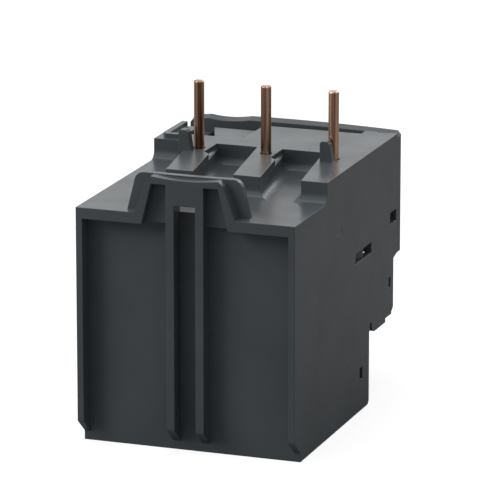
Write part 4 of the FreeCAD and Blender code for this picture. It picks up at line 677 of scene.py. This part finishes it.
def reset_cap(finish):
    """Reset button, a cap over its plunger's spigot, with a driver slot sunk in its face."""
    columns = 144
    socket_deep, socket, edge, nose = 1.4 * MM, 1.65 * MM, 0.15 * MM, 0.6 * MM
    slot_share, slot_half, slot_deep = 0.62, 0.65 * MM, 1.2 * MM
    centre, length, radius = turned_place("reset_button")
    bend = np.linspace(0, QUARTER, 9)
    face = np.linspace(1, POLE_SHARE, 36)
    depths = np.concatenate([
        [socket_deep, socket_deep, 0, 0, edge], length - nose * (1 - np.sin(bend)),
        np.full(len(face), length)])
    radii = np.concatenate([
        [0.005 * MM, socket, socket, radius - edge, radius],
        radius - nose * (1 - np.cos(bend)), (radius - nose) * face])
    well = slot_well(radius * slot_share, slot_half, slot_deep)
    points, faces = spun(centre, depths, radii, columns, well)
    piece = skin("reset_button_slotted", points, faces, finish, "reset_button")
    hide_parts("reset_button")


def driver_collars(finish):
    """Moulded collar round each driver hole: an oval section, half sunk in the block, carried
    round a circle. At section angle s the radius is h + w + w cos s and the collar stands out
    by t sin s, with h the hole's radius, w the section's half width and t its half thickness."""
    rows, columns = 16, 96
    wide, thick = 0.32 * MM, 0.28 * MM
    section = np.linspace(0, TURN, rows, endpoint=False)[:, None]
    around = np.linspace(0, TURN, columns, endpoint=False)[None, :]
    faces = [face[::-1] for face in ring_faces(rows, columns, closed=True)]
    for kind, count, hole, *_ in TERMINALS:
        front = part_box(f"{kind}_terminal_block")[0].y
        radius = hole + wide + wide * np.cos(section)
        y = np.repeat(front - thick * np.sin(section), columns, axis=1)
        for number in range(1, count + 1):
            centre = turned_place(f"{kind}_screw_{number}")[0]
            points = np.stack([centre[0] + radius * np.cos(around), y,
                               centre[2] + radius * np.sin(around)], axis=-1)
            name = f"{kind}_driver_collar_{number}"
            skin(name, points, faces, finish, "relay")


def yielding_spring(node, finish):
    """Spring rebuilt from its node's mesh: points that coincide are merged, faces left with a
    repeated corner are dropped, and the node is hidden."""
    surface = frame["nodes"][node].data
    corners = np.array([corner.co[:] for corner in surface.vertices])
    points, place = np.unique(np.round(corners, 8), axis=0, return_inverse=True)
    place = place.reshape(-1)
    faces = [[int(place[corner]) for corner in face.vertices] for face in surface.polygons]
    faces = [face for face in faces if len(set(face)) == len(face)]
    piece = skin(f"{node}_coil", points, faces, finish, "relay")
    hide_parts(node)
    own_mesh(piece)


def side_mark(finish):
    """Fine raised corner line on the housing's side."""
    half_wide, half_thick = 0.1 * MM, 0.03 * MM
    path = [(24.4, 39.8), (28.3, 40.0), (28.3, 41.0)]
    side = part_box("rear_housing")[0].x
    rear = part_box("rear_housing")[1].y
    corners = [np.array([side, rear - depth * MM, z * MM]) for depth, z in path]
    marks = []
    for first, second in zip(corners, corners[1:]):
        run = (second - first) / 2
        way = run / np.linalg.norm(run)
        across = np.cross(way, [1, 0, 0]) * half_wide
        marks.append(((first + second) / 2, run + way * half_wide, across, (-half_thick, 0, 0)))
    points, faces = slabs(marks)
    skin("side_corner_line", points, faces, finish, "relay")


aim_camera()
light_studio()
lay_floor()
finishes = make_finishes()

for part in frame["record"]["subparts"]:
    solid = frame["nodes"][part["node"]]
    for socket in solid.material_slots:
        socket.material = finishes[part["material_slot"]]

for kind, count, _, shank, head, pitch in TERMINALS:
    for number in range(1, count + 1):
        threaded_screw(f"{kind}_screw_{number}", shank, head, pitch, finishes["zinc_steel"])
dial_centre, dial_front = knurled_dial(finishes["dial_plastic"])
dial_scale(dial_centre, dial_front, finishes["dial_print"], finishes["print"])
stop_cap(finishes["stop_plastic"])
reset_cap(finishes["reset_plastic"])
driver_collars(finishes["terminal_plastic"])
for spring, joint, way, fixed, travel in SPRINGS:
    yielding_spring(spring, finishes["spring_steel"])
side_mark(finishes["terminal_plastic"])
